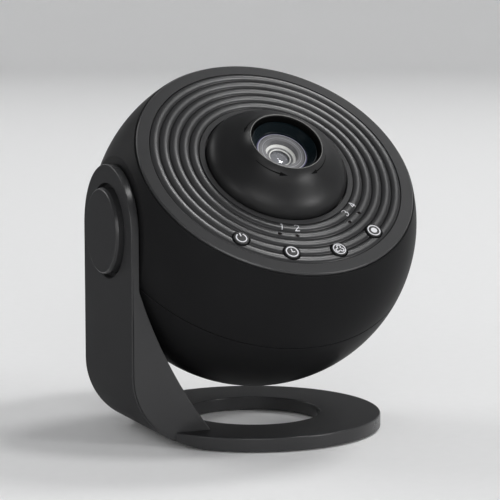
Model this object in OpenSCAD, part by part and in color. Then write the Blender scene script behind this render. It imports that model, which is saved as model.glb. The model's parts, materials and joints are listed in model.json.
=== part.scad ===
// Home planetarium projector: a ball-shaped head with a tilted face plate, carried
// on one flat arm that rises from a ring-shaped base. Millimetres, +Z up.
// Origin: on the floor, straight under the centre of the ball.
// The front is -Y and the arm stands on -X. The head is drawn at its resting tilt.

/* [Head] */
// Radius of the ball
ball_r = 65; // [64.6:0.1:65.2]
// Height of the ball centre and tilt axis above the floor
pivot_z = 82.2; // [82:0.1:84]
// Tilt of the optical axis from straight up towards the front, in degrees
tilt = 41.3; // [0:0.1:90]
// Wall thickness of the two half shells
shell_wall = 2.5; // [2.2:0.1:2.6]
// Gap left between the two half shells at the seam
seam_gap = 0.3; // [0.2:0.1:0.5]

/* [Face plate] */
// Distance of the flat face from the ball centre along the optical axis
face_h = 33; // [32.9:0.05:33.1]
// Radius of the face plate
face_r = 56; // [55.9:0.05:56]
// Radius where the ridged zone starts
ridge_r0 = 31.05; // [31:0.05:31.2]
// Width of one ridge
ridge_w = 3.97; // [3.9:0.01:4]
// Height of a ridge above the groove beside it
ridge_rise = 0.6; // [0.4:0.05:0.7]
// Number of concentric ridges
ridge_count = 5; // [4:1:5]

/* [Focus ring] */
// Radius of the focus ring where it meets the face
dome_r = 28.3; // [28.2:0.05:28.35]
// Radius of the light opening at the top of the focus ring
mouth_r = 14.6; // [14.5:0.05:14.8]
// Height of the focus ring above the face
dome_rise = 13.3; // [13:0.1:13.6]

/* [Buttons] */
// Radius of a button cap
button_r = 3.1; // [2.9:0.05:3.2]
// Distance of the buttons from the optical axis
button_pcd_r = 46.2; // [46:0.1:46.5]
// Angle between neighbouring buttons, in degrees
button_step = 24.7; // [24:0.1:25]
// How far a button cap stands above the face
button_proud = 0.95; // [0.8:0.05:1.1]

/* [Stand] */
// Distance of the arm's outer face from the ball centre
arm_x = 62.3; // [62.2:0.05:62.4]
// Thickness of the arm beside the ball
arm_t = 3.3; // [3.2:0.05:3.4]
// Width of the arm from front to back
arm_w = 51.4; // [51:0.1:52]
// Outer radius of the base ring
base_r = 51.3; // [51:0.1:51.6]
// Radius of the hole in the base ring
base_hole_r = 27; // [26.5:0.1:27]
// Height of the base ring's top above the floor
base_top = 6; // [6:0.1:6.1]
// Radius of the big bend at the foot of the arm
bend_r = 28; // [27.5:0.1:28.2]

/* [Hidden] */

$fn = 96;
eps = 0.01;
big = 200;

// colours
c_black = [0.06, 0.06, 0.065];
c_charcoal = [0.10, 0.10, 0.105];
c_grey = [0.21, 0.21, 0.22];
c_icon = [0.72, 0.73, 0.74];
c_steel = [0.62, 0.63, 0.65];
c_alu = [0.74, 0.75, 0.77];
c_glass = [0.80, 0.86, 0.90, 0.5];
c_board = [0.05, 0.30, 0.14];
c_white = [0.88, 0.88, 0.86];

// head levels, measured along the optical axis from the ball centre
inner_r = ball_r - shell_wall;
plate_t = 2.6;
plate_under = face_h - plate_t;
shell_rim = face_h - 1.1;
groove_h = face_h - 0.25;
ledge_r = 51;
ledge_t = 2.4;
chassis_h = 17.5;
chassis_t = 2.5;
rim_h = face_h + dome_rise;
holder_h = 7.8;
holder_t = 2;
gear_h = 10.1;
gear_t = 4;

// side pivot, measured outwards from the ball centre along -X
flat_x = 58.5;
pocket_x = 54.8;
pocket_r = 21.5;
cup_t = 2.6;
cup_wall = 2.7;
arm_in_x = arm_x - arm_t;
boss_r = 20.8;
boss_x = pocket_x + 0.3;
journal_r = 10;
recess_r = 18.4;
recess_x = arm_x - 2.3;
run_gap = 0.06;
stop_r = 15.5;
stop_pin_r = 1.4;
stop_swing = 90;
slot_pad = 7;

// focusing
barrel_r = 13.15;
cell_r = 10.1;
focus_flange_r = 30.6;
focus_flange_h = plate_under - 1.5;
skirt_in_r = 26.2;

// disc drive
gear_module = 1;
disc_teeth = 58;
pinion_teeth = 12;
drive_x = gear_module * (disc_teeth + pinion_teeth) / 2;
disc_r = 25;

// base
foot_h = 0.6;
cover_top = 1.8;
base_wall = 2;
foot_gap = 0.1;
heel_x = -38.3;
toe_x = -29.9;
bend_z = foot_h + bend_r;
gusset_r = 180;
gusset_top = pivot_z - 20.6;
arm_wall = 3;
cover_z0 = 10;
cover_z1 = 38;

// ------------------------------------------------------------------ helpers
module tube(r_out, r_in, z0, z1) {
    difference() {
        translate([0, 0, z0]) cylinder(r = r_out, h = z1 - z0);
        translate([0, 0, z0 - 1]) cylinder(r = r_in, h = z1 - z0 + 2);
    }
}

module disc(r, z0, z1) {
    translate([0, 0, z0]) cylinder(r = r, h = z1 - z0);
}

module polar(r, a) {
    rotate([0, 0, a]) translate([r, 0, 0]) children();
}

// frame of the head: origin at the ball centre, +Z along the optical axis
module head_frame() {
    translate([0, 0, pivot_z]) rotate([tilt, 0, 0]) children();
}

// frame of the tilt axis: origin at the ball centre, +Z pointing out through the arm
module side_frame() {
    rotate([0, -90, 0]) children();
}

module above(h) {
    translate([-big / 2, -big / 2, h]) cube([big, big, big]);
}

module below(h) {
    translate([-big / 2, -big / 2, h - big]) cube([big, big, big]);
}

// cheese-head screw pointing up: head under z, shank of length l above it
module screw(z, shank_r, l, head_r, head_h) {
    disc(head_r, z - head_h, z);
    disc(shank_r, z - eps, z + l);
}

// disc with spherical faces: edge radius r, edge from z0 to z1, bulges lo and up
module lens(r, z0, z1, lo, up) {
    r_up = (r * r + up * up) / (2 * up);
    r_lo = (r * r + lo * lo) / (2 * lo);
    intersection() {
        disc(r, z0 - lo - 1, z1 + up + 1);
        translate([0, 0, z1 + up - r_up]) sphere(r = r_up);
        translate([0, 0, z0 - lo + r_lo]) sphere(r = r_lo);
    }
}

// outline of a gear with straight-sided teeth
function gear_points(n) = [
    for (i = [0 : n - 1]) for (s = [[-0.29, -1.15], [-0.12, 0.85], [0.12, 0.85], [0.29, -1.15]])
        let (a = 360 / n * (i + s[0]), r = gear_module * (n / 2 + s[1])) [r * cos(a), r * sin(a)]
];

// point at t on a cubic curve with four control points
function bezier(p, t) =
    pow(1 - t, 3) * p[0] + 3 * pow(1 - t, 2) * t * p[1] + 3 * (1 - t) * t * t * p[2] + pow(t, 3) * p[3];

// ------------------------------------------------------------------ base
module heel_notch(gap) {
    translate([-arm_x - 10, -arm_w / 2 - gap, -1])
        cube([arm_x + 10 + heel_x + gap, arm_w + 2 * gap, base_top + 2]);
}

module base_screw_spots() {
    for (a = [-50, 50, -120, 120]) polar(34, a) children();
}

module arm_screw_spots() {
    for (y = [-14, 14]) translate([heel_x + 4, y, 0]) children();
}

module base_ring() {
    color(c_grey) difference() {
        union() {
            difference() {
                rotate_extrude() polygon([
                    [base_hole_r, foot_h], [base_r, foot_h], [base_r, base_top - 0.7],
                    [base_r - 0.25, base_top - 0.2], [base_r - 0.8, base_top],
                    [base_hole_r + 0.4, base_top], [base_hole_r, base_top - 0.4]
                ]);
                tube(base_r - base_wall, base_hole_r + base_wall, foot_h - 1, base_top - 1.8);
            }
            base_screw_spots() disc(2.6, cover_top, base_top - 1);
            translate([heel_x, -arm_w / 2 - 2, foot_h])
                intersection() {
                    cube([1.2, arm_w + 4, base_top - foot_h - 1]);
                    translate([-heel_x, arm_w / 2 + 2, 0]) cylinder(r = base_r - 1, h = 20);
                }
        }
        heel_notch(foot_gap);
        across(2 * base_r) bend_corner(0);
        base_screw_spots() disc(1.25, 0, base_top - 1.5);
        arm_screw_spots() disc(1.7, -1, base_top + 1);
    }
}

module ballast_ring() {
    color(c_steel) difference() {
        tube(base_r - base_wall - 0.5, base_hole_r + base_wall + 0.5, cover_top + 0.1, base_top - 2);
        translate([-big - 28, -big / 2, -1]) cube([big, big, 20]);
        base_screw_spots() disc(3.2, 0, 20);
    }
}

module base_cover() {
    color(c_black) difference() {
        tube(base_r - base_wall - 0.1, base_hole_r + base_wall + 0.1, foot_h, cover_top);
        translate([-big + heel_x + 1.9, -big / 2, -1]) cube([big, big, 20]);
        base_screw_spots() disc(1.4, 0, 20);
        base_screw_spots() disc(2.3, 0, cover_top - 0.6);
    }
}

module foot_ring() {
    color(c_black) difference() {
        tube(47, 40, 0, foot_h);
        translate([-big - 34, -big / 2, -1]) cube([big, big, 20]);
    }
}

module base_screws() {
    color(c_steel) base_screw_spots() screw(cover_top - 0.6, 1.25, 3.3, 2.2, 0.5);
}

module arm_screws() {
    color(c_steel) arm_screw_spots() screw(base_top - 1.8, 1.6, 4.4, 2.4, 1.6);
}

// ------------------------------------------------------------------ arm
// the corner that the big bend takes off the outline, with the bend's radius cut by inset
module bend_corner(inset) {
    difference() {
        translate([-arm_x - 1, foot_h - 1]) square([bend_r + 1, bend_r + 1]);
        translate([bend_r - arm_x, bend_z]) circle(r = bend_r - inset);
    }
}

// outline of the arm seen from the front: X across, height up
module arm_outline() {
    // the curved inner edge runs from the straight part down to the toe on the base
    p0 = [-arm_in_x, gusset_top];
    p1 = [toe_x, base_top];
    chord = norm(p1 - p0);
    along = (p1 - p0) / chord;
    centre = (p0 + p1) / 2 + [-along[1], along[0]] * sqrt(gusset_r * gusset_r - chord * chord / 4);
    difference() {
        union() {
            translate([-arm_x, gusset_top]) square([arm_t, pivot_z - gusset_top + arm_w / 2]);
            polygon([
                [-arm_x, gusset_top], p0, p1, [heel_x, base_top], [heel_x, foot_h], [-arm_x, foot_h]
            ]);
        }
        intersection() {
            translate(centre) circle(r = gusset_r);
            translate([-arm_x, base_top - 10]) square([arm_x, gusset_top - base_top + 10]);
        }
        bend_corner(0);
    }
}

// the width of the arm, with its round top about the tilt axis
module arm_span() {
    rotate([90, 0, -90]) linear_extrude(height = arm_x + 1) {
        translate([0, pivot_z]) circle(r = arm_w / 2);
        translate([-arm_w / 2, 0]) square([arm_w, pivot_z]);
    }
}

// an outline carried across part of the arm's width
module across(w) {
    rotate([90, 0, 0]) linear_extrude(height = w, center = true) children();
}

// strip along the curved inner edge that the cover closes
module cover_outline(depth, play) {
    difference() {
        intersection() {
            arm_outline();
            translate([-arm_x, cover_z0 + play]) square([60, cover_z1 - cover_z0 - 2 * play]);
        }
        translate([-depth, 0]) arm_outline();
    }
}

module hollow_outline() {
    difference() {
        translate([-arm_x + arm_wall, cover_z0 + 1]) square([30, cover_z1 - cover_z0 - 2]);
        bend_corner(arm_wall);
    }
}

// room for the ball, up to the plane of the arm's inner face
module arm_relief() {
    intersection() {
        translate([0, 0, pivot_z]) sphere(r = ball_r + 0.6);
        translate([-arm_in_x, -big / 2, -big / 2]) cube([big, big, 2 * big]);
    }
}

module stand_arm() {
    color(c_grey) difference() {
        union() {
            difference() {
                intersection() {
                    across(arm_w) arm_outline();
                    arm_span();
                }
                arm_relief();
            }
            translate([0, 0, pivot_z]) side_frame() disc(boss_r, boss_x, arm_in_x + 1);
        }
        across(arm_w - 8) hollow_outline();
        across(arm_w - 5.6) cover_outline(2.1, 0);
        translate([0, 0, pivot_z]) side_frame() {
            disc(recess_r, recess_x, arm_x + 1);
            disc(journal_r + run_gap, boss_x - 1, arm_x);
            // curved slot that the stop pin of the head runs in
            rotate([0, 0, -stop_swing / 2 - slot_pad]) rotate_extrude(angle = stop_swing + 2 * slot_pad)
                translate([stop_r - stop_pin_r - 0.3, boss_x - 1]) square([2 * stop_pin_r + 0.6, 3]);
        }
        arm_screw_spots() disc(1.6, base_top - 1, base_top + 2.9);
    }
}

module arm_cover() {
    color(c_grey) difference() {
        across(arm_w - 6) cover_outline(2, 0.2);
        arm_relief();
    }
}

// ------------------------------------------------------------------ shells
boss_spots = [[35.4, 35.4], [-35.4, 35.4], [15.5, -41], [-15.5, -41]];
board_spots = [[26, -20], [-26, -20], [26, 34], [-26, 34]];
board_h = -30;
socket_drop = 30;
socket_seat = 63.2;
post_angles = [20, 90, 160];
plate_screw_angles = [50, 130, 270];

// frame of the power socket: +Z pointing out of the back of the lower shell
module socket_frame() {
    rotate([-90 - socket_drop, 0, 0]) children();
}

module half_shell() {
    difference() {
        sphere(r = ball_r);
        sphere(r = inner_r);
        side_frame() disc(40, flat_x, flat_x + 20);
    }
    side_frame() disc(pocket_r + cup_wall, pocket_x - cup_t, flat_x);
}

module side_openings() {
    side_frame() {
        disc(pocket_r, pocket_x, flat_x + 1);
        disc(journal_r, pocket_x - cup_t - 1, flat_x);
        for (a = [90, 210, 330]) polar(13, a) disc(1, pocket_x - cup_t - 1, pocket_x - 0.8);
    }
}

module lower_shell() {
    color(c_black) difference() {
        union() {
            difference() {
                half_shell();
                above(-seam_gap / 2);
            }
            // tongue that locates the upper shell
            difference() {
                tube(inner_r - 0.1, inner_r - 1.9, -5, 2);
                side_frame() disc(pocket_r + cup_wall + 1, 40, 70);
            }
            intersection() {
                sphere(r = ball_r - 0.5);
                union() {
                    for (p = boss_spots) translate([p[0], p[1], 0]) disc(3.6, -60, -seam_gap / 2);
                    for (p = board_spots) translate([p[0], p[1], 0]) disc(2.6, -60, board_h);
                    socket_frame() disc(8, socket_seat - 2.6, ball_r);
                }
            }
        }
        for (p = boss_spots) translate([p[0], p[1], 0]) {
            disc(2.9, -70, -14);
            disc(1.6, -70, 1);
        }
        for (p = board_spots) translate([p[0], p[1], 0]) disc(1, board_h - 6, board_h + 1);
        socket_frame() {
            disc(6.2, socket_seat, 80);
            disc(4, 50, 80);
        }
        side_openings();
    }
}

// the pin that stops the tilt at both ends of the arm's slot
module stop_pin() {
    side_frame() polar(stop_r, 90 - stop_swing / 2) disc(stop_pin_r, pocket_x - 1, pocket_x + 1.8);
}

module upper_shell() {
    color(c_black) {
        upper_shell_body();
        stop_pin();
    }
}

module upper_shell_body() {
    difference() {
        union() {
            difference() {
                half_shell();
                below(seam_gap / 2);
            }
            intersection() {
                sphere(r = ball_r - 0.5);
                union() {
                    tube(ball_r, ledge_r, plate_under - ledge_t, plate_under);
                    for (a = post_angles) polar(51.5, a) disc(3, chassis_h + chassis_t, plate_under - 1);
                    for (p = boss_spots) {
                        translate([p[0], p[1], 0]) disc(3.4, seam_gap / 2, 12);
                        // web from the boss to the shell wall
                        rotate([0, 0, atan2(p[1], p[0])]) translate([norm(p), -1, 2.3]) cube([30, 2, 8]);
                    }
                }
            }
        }
        above(shell_rim);
        disc(face_r + 0.15, plate_under, 60);
        for (a = post_angles) polar(51.5, a) disc(1.2, chassis_h, chassis_h + chassis_t + 6);
        for (a = plate_screw_angles) polar(53.2, a) disc(1.2, plate_under - ledge_t - 1, plate_under + 1);
        for (p = boss_spots) translate([p[0], p[1], 0]) disc(1.3, -1, 10);
        side_openings();
    }
}

module shell_screws() {
    color(c_steel) for (p = boss_spots) translate([p[0], p[1], 0]) screw(-14, 1.3, 22, 2.6, 2);
}

// ------------------------------------------------------------------ face plate
button_angles = [for (k = [-1.5 : 1 : 1.5]) 270 + k * button_step];
board_screw_angles = [270 - button_step, 270 + button_step];
pipe_spots = [252.2, 263, 302, 313];
pipe_pcd_r = 37.2;
pipe_r = 0.5;

module plate_profile() {
    polygon([
        [dome_r + 0.4, plate_under], [face_r, plate_under], [face_r, face_h - 0.5],
        [face_r - 0.5, face_h], [ridge_r0 + ridge_count * ridge_w, face_h],
        [ridge_r0 + ridge_count * ridge_w, groove_h], [ridge_r0, groove_h],
        [ridge_r0, face_h], [dome_r + 0.9, face_h], [dome_r + 0.4, face_h - 0.5]
    ]);
    for (k = [0 : ridge_count - 1]) ridge(ridge_r0 + (k + 0.5) * ridge_w);
    // rib that the focus ring's flange turns in
    translate([focus_flange_r + run_gap, plate_under - 1.8]) square([4.4, 2]);
}

// one rounded ridge of the face, in section
module ridge(r) {
    round_r = (ridge_w * ridge_w / 4 + ridge_rise * ridge_rise) / (2 * ridge_rise);
    intersection() {
        translate([r, groove_h + ridge_rise - round_r]) circle(r = round_r);
        translate([r - ridge_w / 2, groove_h - 1]) square([ridge_w, 3]);
    }
}

module face_plate() {
    color(c_charcoal) difference() {
        rotate_extrude() plate_profile();
        for (a = button_angles) polar(button_pcd_r, a) disc(button_r + 0.35, plate_under - 5, face_h + 5);
        for (a = pipe_spots) polar(pipe_pcd_r, a) disc(pipe_r, plate_under - 5, face_h + 5);
        for (a = plate_screw_angles) polar(53.2, a) disc(1, plate_under - 1, face_h - 0.8);
        for (a = [90, 210, 330]) polar(33, a) disc(0.9, plate_under - 5, plate_under + 1.4);
    }
}

module plate_screws() {
    color(c_steel) for (a = plate_screw_angles)
        polar(53.2, a) screw(plate_under - ledge_t, 1, ledge_t + 1.6, 1.9, 1.4);
}

// ------------------------------------------------------------------ tilt pivot
module pivot_hub() {
    color(c_steel) side_frame() difference() {
        union() {
            disc(16, pocket_x - cup_t - 2.6, pocket_x - cup_t);
            disc(journal_r, pocket_x - cup_t - eps, recess_x + 0.5);
        }
        disc(2, pocket_x - 8, arm_x);
        for (a = [90, 210, 330]) polar(13, a) disc(1.2, 40, pocket_x);
    }
}

module hub_screws() {
    color(c_steel) side_frame() for (a = [90, 210, 330])
        polar(13, a) screw(pocket_x - cup_t - 2.6, 1, 4.2, 2, 1.4);
}

module wave_washer() {
    color(c_steel) side_frame() tube(14, journal_r, recess_x + 0.1, recess_x + 0.5);
}

module retaining_plate() {
    color(c_steel) side_frame() tube(14.2, 2, recess_x + 0.5, recess_x + 1.3);
}

module pivot_screw() {
    color(c_steel) side_frame() difference() {
        union() {
            disc(3.6, recess_x + 1.3, recess_x + 2.9);
            disc(2, pocket_x - 3, recess_x + 1.3 + eps);
        }
        translate([0, 0, recess_x + 2]) cylinder(r = 1.5, h = 2, $fn = 6);
    }
}

module pivot_cap() {
    color(c_grey) side_frame() rotate_extrude() polygon([
        [0, ball_r - 1.5], [14.2, ball_r - 1.5], [14.2, recess_x + 0.5], [16.8, recess_x + 0.5],
        [16.8, ball_r - 1.2], [16.2, ball_r - 0.35], [15.8, ball_r], [0, ball_r]
    ]);
}

// ------------------------------------------------------------------ optical chassis
leg_angles = [60, 180, 300];

module chassis() {
    color(c_charcoal) difference() {
        union() {
            disc(54.5, chassis_h, chassis_h + chassis_t);
            for (a = leg_angles) polar(36, a) disc(2.6, holder_h + holder_t, chassis_h + 1);
            // fingers that keep the disc gear down on its collar
            for (a = [30, 150, 270]) polar(26.4, a) disc(1.2, gear_h + gear_t + 0.3, chassis_h + 1);
            // pads under the button board
            for (a = concat(board_screw_angles, [270])) polar(44, a) disc(2.2, chassis_h, chassis_h + 3.9);
        }
        disc(15.6, 0, 60);
        for (a = [0, 120, 240]) polar(33, a) disc(6, 0, 60);
        for (a = post_angles) polar(51.5, a) disc(1.4, 0, 60);
        for (a = leg_angles) polar(36, a) disc(1, 0, holder_h + holder_t + 5);
        for (a = [90, 210, 330]) polar(18, a) disc(1, 0, 60);
        for (a = board_screw_angles) polar(44, a) disc(0.9, chassis_h + 1, 60);
        side_frame() disc(pocket_r + cup_wall + 0.6, pocket_x - cup_t - 1, 60);
    }
}

module chassis_screws() {
    color(c_steel) {
        for (a = post_angles) polar(51.5, a) screw(chassis_h, 1.2, 7.5, 2.3, 1.6);
        for (a = leg_angles) polar(36, a) screw(holder_h, 1, 6.5, 2, 1.4);
    }
}

module guide_tube() {
    color(c_black) difference() {
        union() {
            tube(15.5, barrel_r + run_gap, chassis_h, 34);
            tube(20.5, barrel_r + run_gap, chassis_h + chassis_t, chassis_h + chassis_t + 2);
        }
        translate([-1.15, 0, chassis_h - 1]) cube([2.3, 14.6, 34]);
        for (a = [90, 210, 330]) polar(18, a) disc(1, 0, 60);
    }
}

module holder_screws() {
    color(c_steel) for (a = [90, 210, 330]) polar(18, a)
        translate([0, 0, 2 * (chassis_h + chassis_t + 2)]) mirror([0, 0, 1])
            screw(chassis_h + chassis_t + 2, 1, 4.3, 1.9, 1.4);
}

module focus_retainer() {
    color(c_charcoal) difference() {
        tube(35, 27.5, plate_under - 3.2, plate_under - 1.8);
        for (a = [90, 210, 330]) polar(33, a) disc(0.9, 0, 60);
    }
}

module retainer_screws() {
    color(c_steel) for (a = [90, 210, 330]) polar(33, a) screw(plate_under - 3.2, 0.9, 4.4, 1.7, 1);
}

// ------------------------------------------------------------------ lamp and disc drive
module condenser_holder() {
    color(c_black) difference() {
        rotate_extrude() polygon([
            [8.6, -1.4], [17, -1.4], [17, 1], [12.6, 1], [12.6, holder_h], [39.5, holder_h],
            [39.5, holder_h + holder_t], [22.94, holder_h + holder_t], [22.94, gear_h + 1.6],
            [20.9, gear_h + 1.6], [10.1, holder_h], [10.1, 2.6], [8.6, 2.6]
        ]);
        translate([drive_x, 0, 0]) disc(4.2, 0, 20);
        for (s = [-1, 1]) translate([drive_x, 12.5 * s, 0]) disc(1.2, 0, 20);
        for (a = leg_angles) polar(36, a) disc(1, 0, 20);
        for (a = [0, 180]) polar(14.6, a) disc(1, -5, 0.6);
    }
}

module condenser_lens() {
    color(c_glass) lens(10.1, 2.9, 3.7, 1, 3);
}

module lamp_board() {
    color(c_white) difference() {
        disc(12, -3, -1.4);
        for (a = [90, 270]) polar(9.8, a) disc(1.2, -4, 0);
    }
}

module lamp_emitter() {
    color([0.95, 0.88, 0.45]) {
        translate([-2.5, -2.5, -1.4]) cube([5, 5, 0.8]);
        intersection() {
            translate([0, 0, -0.6]) sphere(r = 1.9);
            disc(3, -0.6 - eps, 2);
        }
    }
}

module heat_sink() {
    color(c_alu) difference() {
        union() {
            disc(18, -6, -3);
            intersection() {
                disc(18, -17, -6 + eps);
                for (x = [-11 : 4.4 : 11]) translate([x - 0.7, -20, -17]) cube([1.4, 40, 11.2]);
            }
        }
        for (a = [0, 180]) polar(14.6, a) disc(1.1, -20, 0);
    }
}

module heat_sink_screws() {
    color(c_steel) for (a = [0, 180]) polar(14.6, a) screw(-6, 1, 6.4, 1.9, 1.6);
}

module drive_motor() {
    color(c_alu) translate([drive_x, 0, 0]) {
        disc(9.5, -14, holder_h - 1.2);
        difference() {
            union() {
                disc(4, holder_h - 2, holder_h + 1.4);
                translate([-3, -15, holder_h - 1.2]) cube([6, 30, 1.2]);
            }
            for (s = [-1, 1]) translate([0, 12.5 * s, 0]) disc(1, 0, 20);
            disc(1.6, holder_h, 20);
        }
    }
}

module motor_screws() {
    color(c_steel) for (s = [-1, 1]) translate([drive_x, 12.5 * s, 2 * (holder_h + holder_t)])
        mirror([0, 0, 1]) screw(holder_h + holder_t, 1, 3.6, 1.9, 1.4);
}

module motor_pinion() {
    color(c_white) translate([drive_x, 0, 0]) {
        translate([0, 0, gear_h + 0.2]) linear_extrude(height = gear_t - 0.4)
            rotate([0, 0, 180 / pinion_teeth]) polygon(gear_points(pinion_teeth));
        disc(1.54, holder_h + 0.3, gear_h + 0.4);
    }
}

module disc_gear() {
    color(c_black) difference() {
        translate([0, 0, gear_h]) linear_extrude(height = gear_t) polygon(gear_points(disc_teeth));
        disc(23, gear_h - 1, gear_h + gear_t + 1);
        disc(disc_r + 0.1, gear_h + 1.9, gear_h + gear_t + 1);
    }
}

module film_disc() {
    color([0.2, 0.2, 0.24]) disc(disc_r, gear_h + 1.9, gear_h + 3.1);
}

module disc_clip() {
    color(c_steel) tube(disc_r + 0.1, disc_r - 1.6, gear_h + 3.1, gear_h + 3.7);
}

// ------------------------------------------------------------------ boards
module main_board() {
    color(c_board) {
        difference() {
            translate([-30, -26, board_h]) cube([60, 65, 1.6]);
            for (p = board_spots) translate([p[0], p[1], 0]) disc(1.2, board_h - 1, board_h + 3);
        }
        translate([-12, -10, board_h + 1.6 - eps]) cube([14, 14, 1.4]);
        translate([12, 6, board_h + 1.6 - eps]) cylinder(r = 4, h = 8);
        translate([-22, 8, board_h + 1.6 - eps]) cube([12, 6, 5]);
    }
}

module board_screws() {
    color(c_steel) {
        for (p = board_spots) translate([p[0], p[1], 2 * (board_h + 1.6)])
            mirror([0, 0, 1]) screw(board_h + 1.6, 1, 6, 1.9, 1.4);
        for (a = board_screw_angles) polar(44, a) translate([0, 0, 2 * (chassis_h + 5.5)])
            mirror([0, 0, 1]) screw(chassis_h + 5.5, 0.9, 4, 1.7, 1);
    }
}

switch_h = chassis_h + 5.5;

module button_board() {
    color(c_board) difference() {
        rotate([0, 0, 218]) rotate_extrude(angle = 104)
            translate([35.8, chassis_h + 3.9]) square([16.2, 1.6]);
        for (a = board_screw_angles) polar(44, a) disc(0.9, 0, 60);
    }
}

module tact_switches() {
    color(c_black) for (a = button_angles) polar(button_pcd_r, a) {
        translate([-3, -3, switch_h]) cube([6, 6, 3]);
        disc(1.6, switch_h + 2, switch_h + 3.3);
    }
}

module light_pipes() {
    color([0.5, 0.1, 0.08]) for (a = pipe_spots) polar(pipe_pcd_r, a) disc(pipe_r, switch_h, face_h + 0.05);
}

module power_socket() {
    color(c_black) socket_frame() difference() {
        union() {
            disc(3.9, 50.5, socket_seat);
            disc(5.6, socket_seat, socket_seat + 0.7);
        }
        disc(1.8, socket_seat - 10.3, 70);
    }
}

module socket_nut() {
    color(c_steel) socket_frame() difference() {
        translate([0, 0, socket_seat - 4.2]) cylinder(r = 6, h = 1.6, $fn = 6);
        disc(3.9, 50, 70);
    }
}

// ------------------------------------------------------------------ moving pieces
// control points of the focus ring's outside, from the face up to the opening
dome_curve = [
    [dome_r, face_h + 0.1], [dome_r - 1.1, face_h + 0.54 * dome_rise],
    [mouth_r + 3, face_h + 0.57 * dome_rise], [mouth_r, rim_h]
];
dome_steps = 16;

module focus_ring() {
    dome_t = 2.1;
    color(c_black) rotate_extrude() polygon(concat(
        [[skirt_in_r, focus_flange_h], [focus_flange_r, focus_flange_h],
         [focus_flange_r, focus_flange_h + 1.2], [dome_r - 0.3, focus_flange_h + 1.2],
         [dome_r - 0.3, face_h - 0.9], [dome_r, face_h - 0.5]],
        [for (i = [0 : dome_steps]) bezier(dome_curve, i / dome_steps)],
        [[mouth_r - 0.25, rim_h], [13.5, rim_h - 2.4], [13.5, rim_h - 9], [15.4, rim_h - 9],
         [15.4, rim_h - 5]],
        [for (i = [dome_steps - 4 : -1 : 1]) bezier(dome_curve, i / dome_steps) - [dome_t * 0.8, dome_t]],
        [[skirt_in_r, face_h - 1]]
    ));
}

module lens_barrel() {
    color(c_black) {
        rotate_extrude() polygon([
            [barrel_r, 17], [barrel_r, 43.7], [barrel_r - 0.4, 43.7], [cell_r + 0.4, 40.4],
            [cell_r + 0.05, 40.4], [cell_r + 0.05, 36.4], [9.2, 36.4], [9.2, 28], [8, 28], [8, 27],
            [9.5, 27], [9.5, 22.75], [11, 22.42], [11, 17]
        ]);
        // key that keeps the barrel from turning in its guide
        translate([-1, barrel_r - 0.6, 19]) cube([2, 1.9, 12]);
    }
}

module lens_cell() {
    color(c_glass) rotate_extrude() polygon([
        [cell_r, 36.4], [cell_r, 39.9], [cell_r - 0.3, 40.2], [6.5, 40.2], [5.9, 37.3],
        [4, 37.3], [4, 34.6], [5.2, 34.6], [5.2, 36.4]
    ]);
}

module front_lens() {
    color(c_glass) lens(4, 35.2, 36.2, 0.5, 0.7);
}

module middle_lens() {
    color(c_glass) lens(9.2, 29.6, 30.6, 1.4, 2);
}

module lens_spacer() {
    color(c_black) rotate_extrude() polygon([[8.3, 31.02], [9.2, 30.62], [9.2, 36.4], [8.3, 36.4]]);
}

module rear_lens() {
    color(c_glass) lens(11, 19.6, 22.4, 1.6, 1.2);
}

// a button cap with its retaining flange and stem
module button(a) {
    color(c_icon) polar(button_pcd_r, a) rotate_extrude() polygon([
        [0, switch_h + 4.2], [1.5, switch_h + 4.2], [1.5, plate_under - 1.2], [4.4, plate_under - 1.2],
        [4.4, plate_under - 0.3], [button_r, plate_under - 0.3], [button_r, face_h + button_proud - 0.3],
        [button_r - 0.35, face_h + button_proud], [0, face_h + button_proud]
    ]);
}

base_ring();
ballast_ring();
base_cover();
foot_ring();
base_screws();
stand_arm();
arm_cover();
arm_screws();
head_frame() lower_shell();
head_frame() upper_shell();
head_frame() shell_screws();
head_frame() face_plate();
head_frame() plate_screws();
head_frame() pivot_hub();
head_frame() hub_screws();
head_frame() wave_washer();
head_frame() retaining_plate();
head_frame() pivot_screw();
head_frame() pivot_cap();
head_frame() chassis();
head_frame() chassis_screws();
head_frame() guide_tube();
head_frame() focus_retainer();
head_frame() retainer_screws();
head_frame() condenser_holder();
head_frame() holder_screws();
head_frame() condenser_lens();
head_frame() lamp_board();
head_frame() lamp_emitter();
head_frame() heat_sink();
head_frame() heat_sink_screws();
head_frame() drive_motor();
head_frame() motor_screws();
head_frame() main_board();
head_frame() button_board();
head_frame() board_screws();
head_frame() tact_switches();
head_frame() light_pipes();
head_frame() power_socket();
head_frame() socket_nut();
head_frame() focus_ring();
head_frame() lens_barrel();
head_frame() lens_cell();
head_frame() front_lens();
head_frame() middle_lens();
head_frame() lens_spacer();
head_frame() rear_lens();
head_frame() disc_gear();
head_frame() film_disc();
head_frame() disc_clip();
head_frame() motor_pinion();
head_frame() button(button_angles[0]);  // power_button
head_frame() button(button_angles[1]);  // timer_button
head_frame() button(button_angles[2]);  // motion_button
head_frame() button(button_angles[3]);  // light_button
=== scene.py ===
import json
import math

import bmesh
import bpy
import numpy as np
from mathutils import Matrix, Vector
from mathutils.geometry import delaunay_2d_cdt

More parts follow.
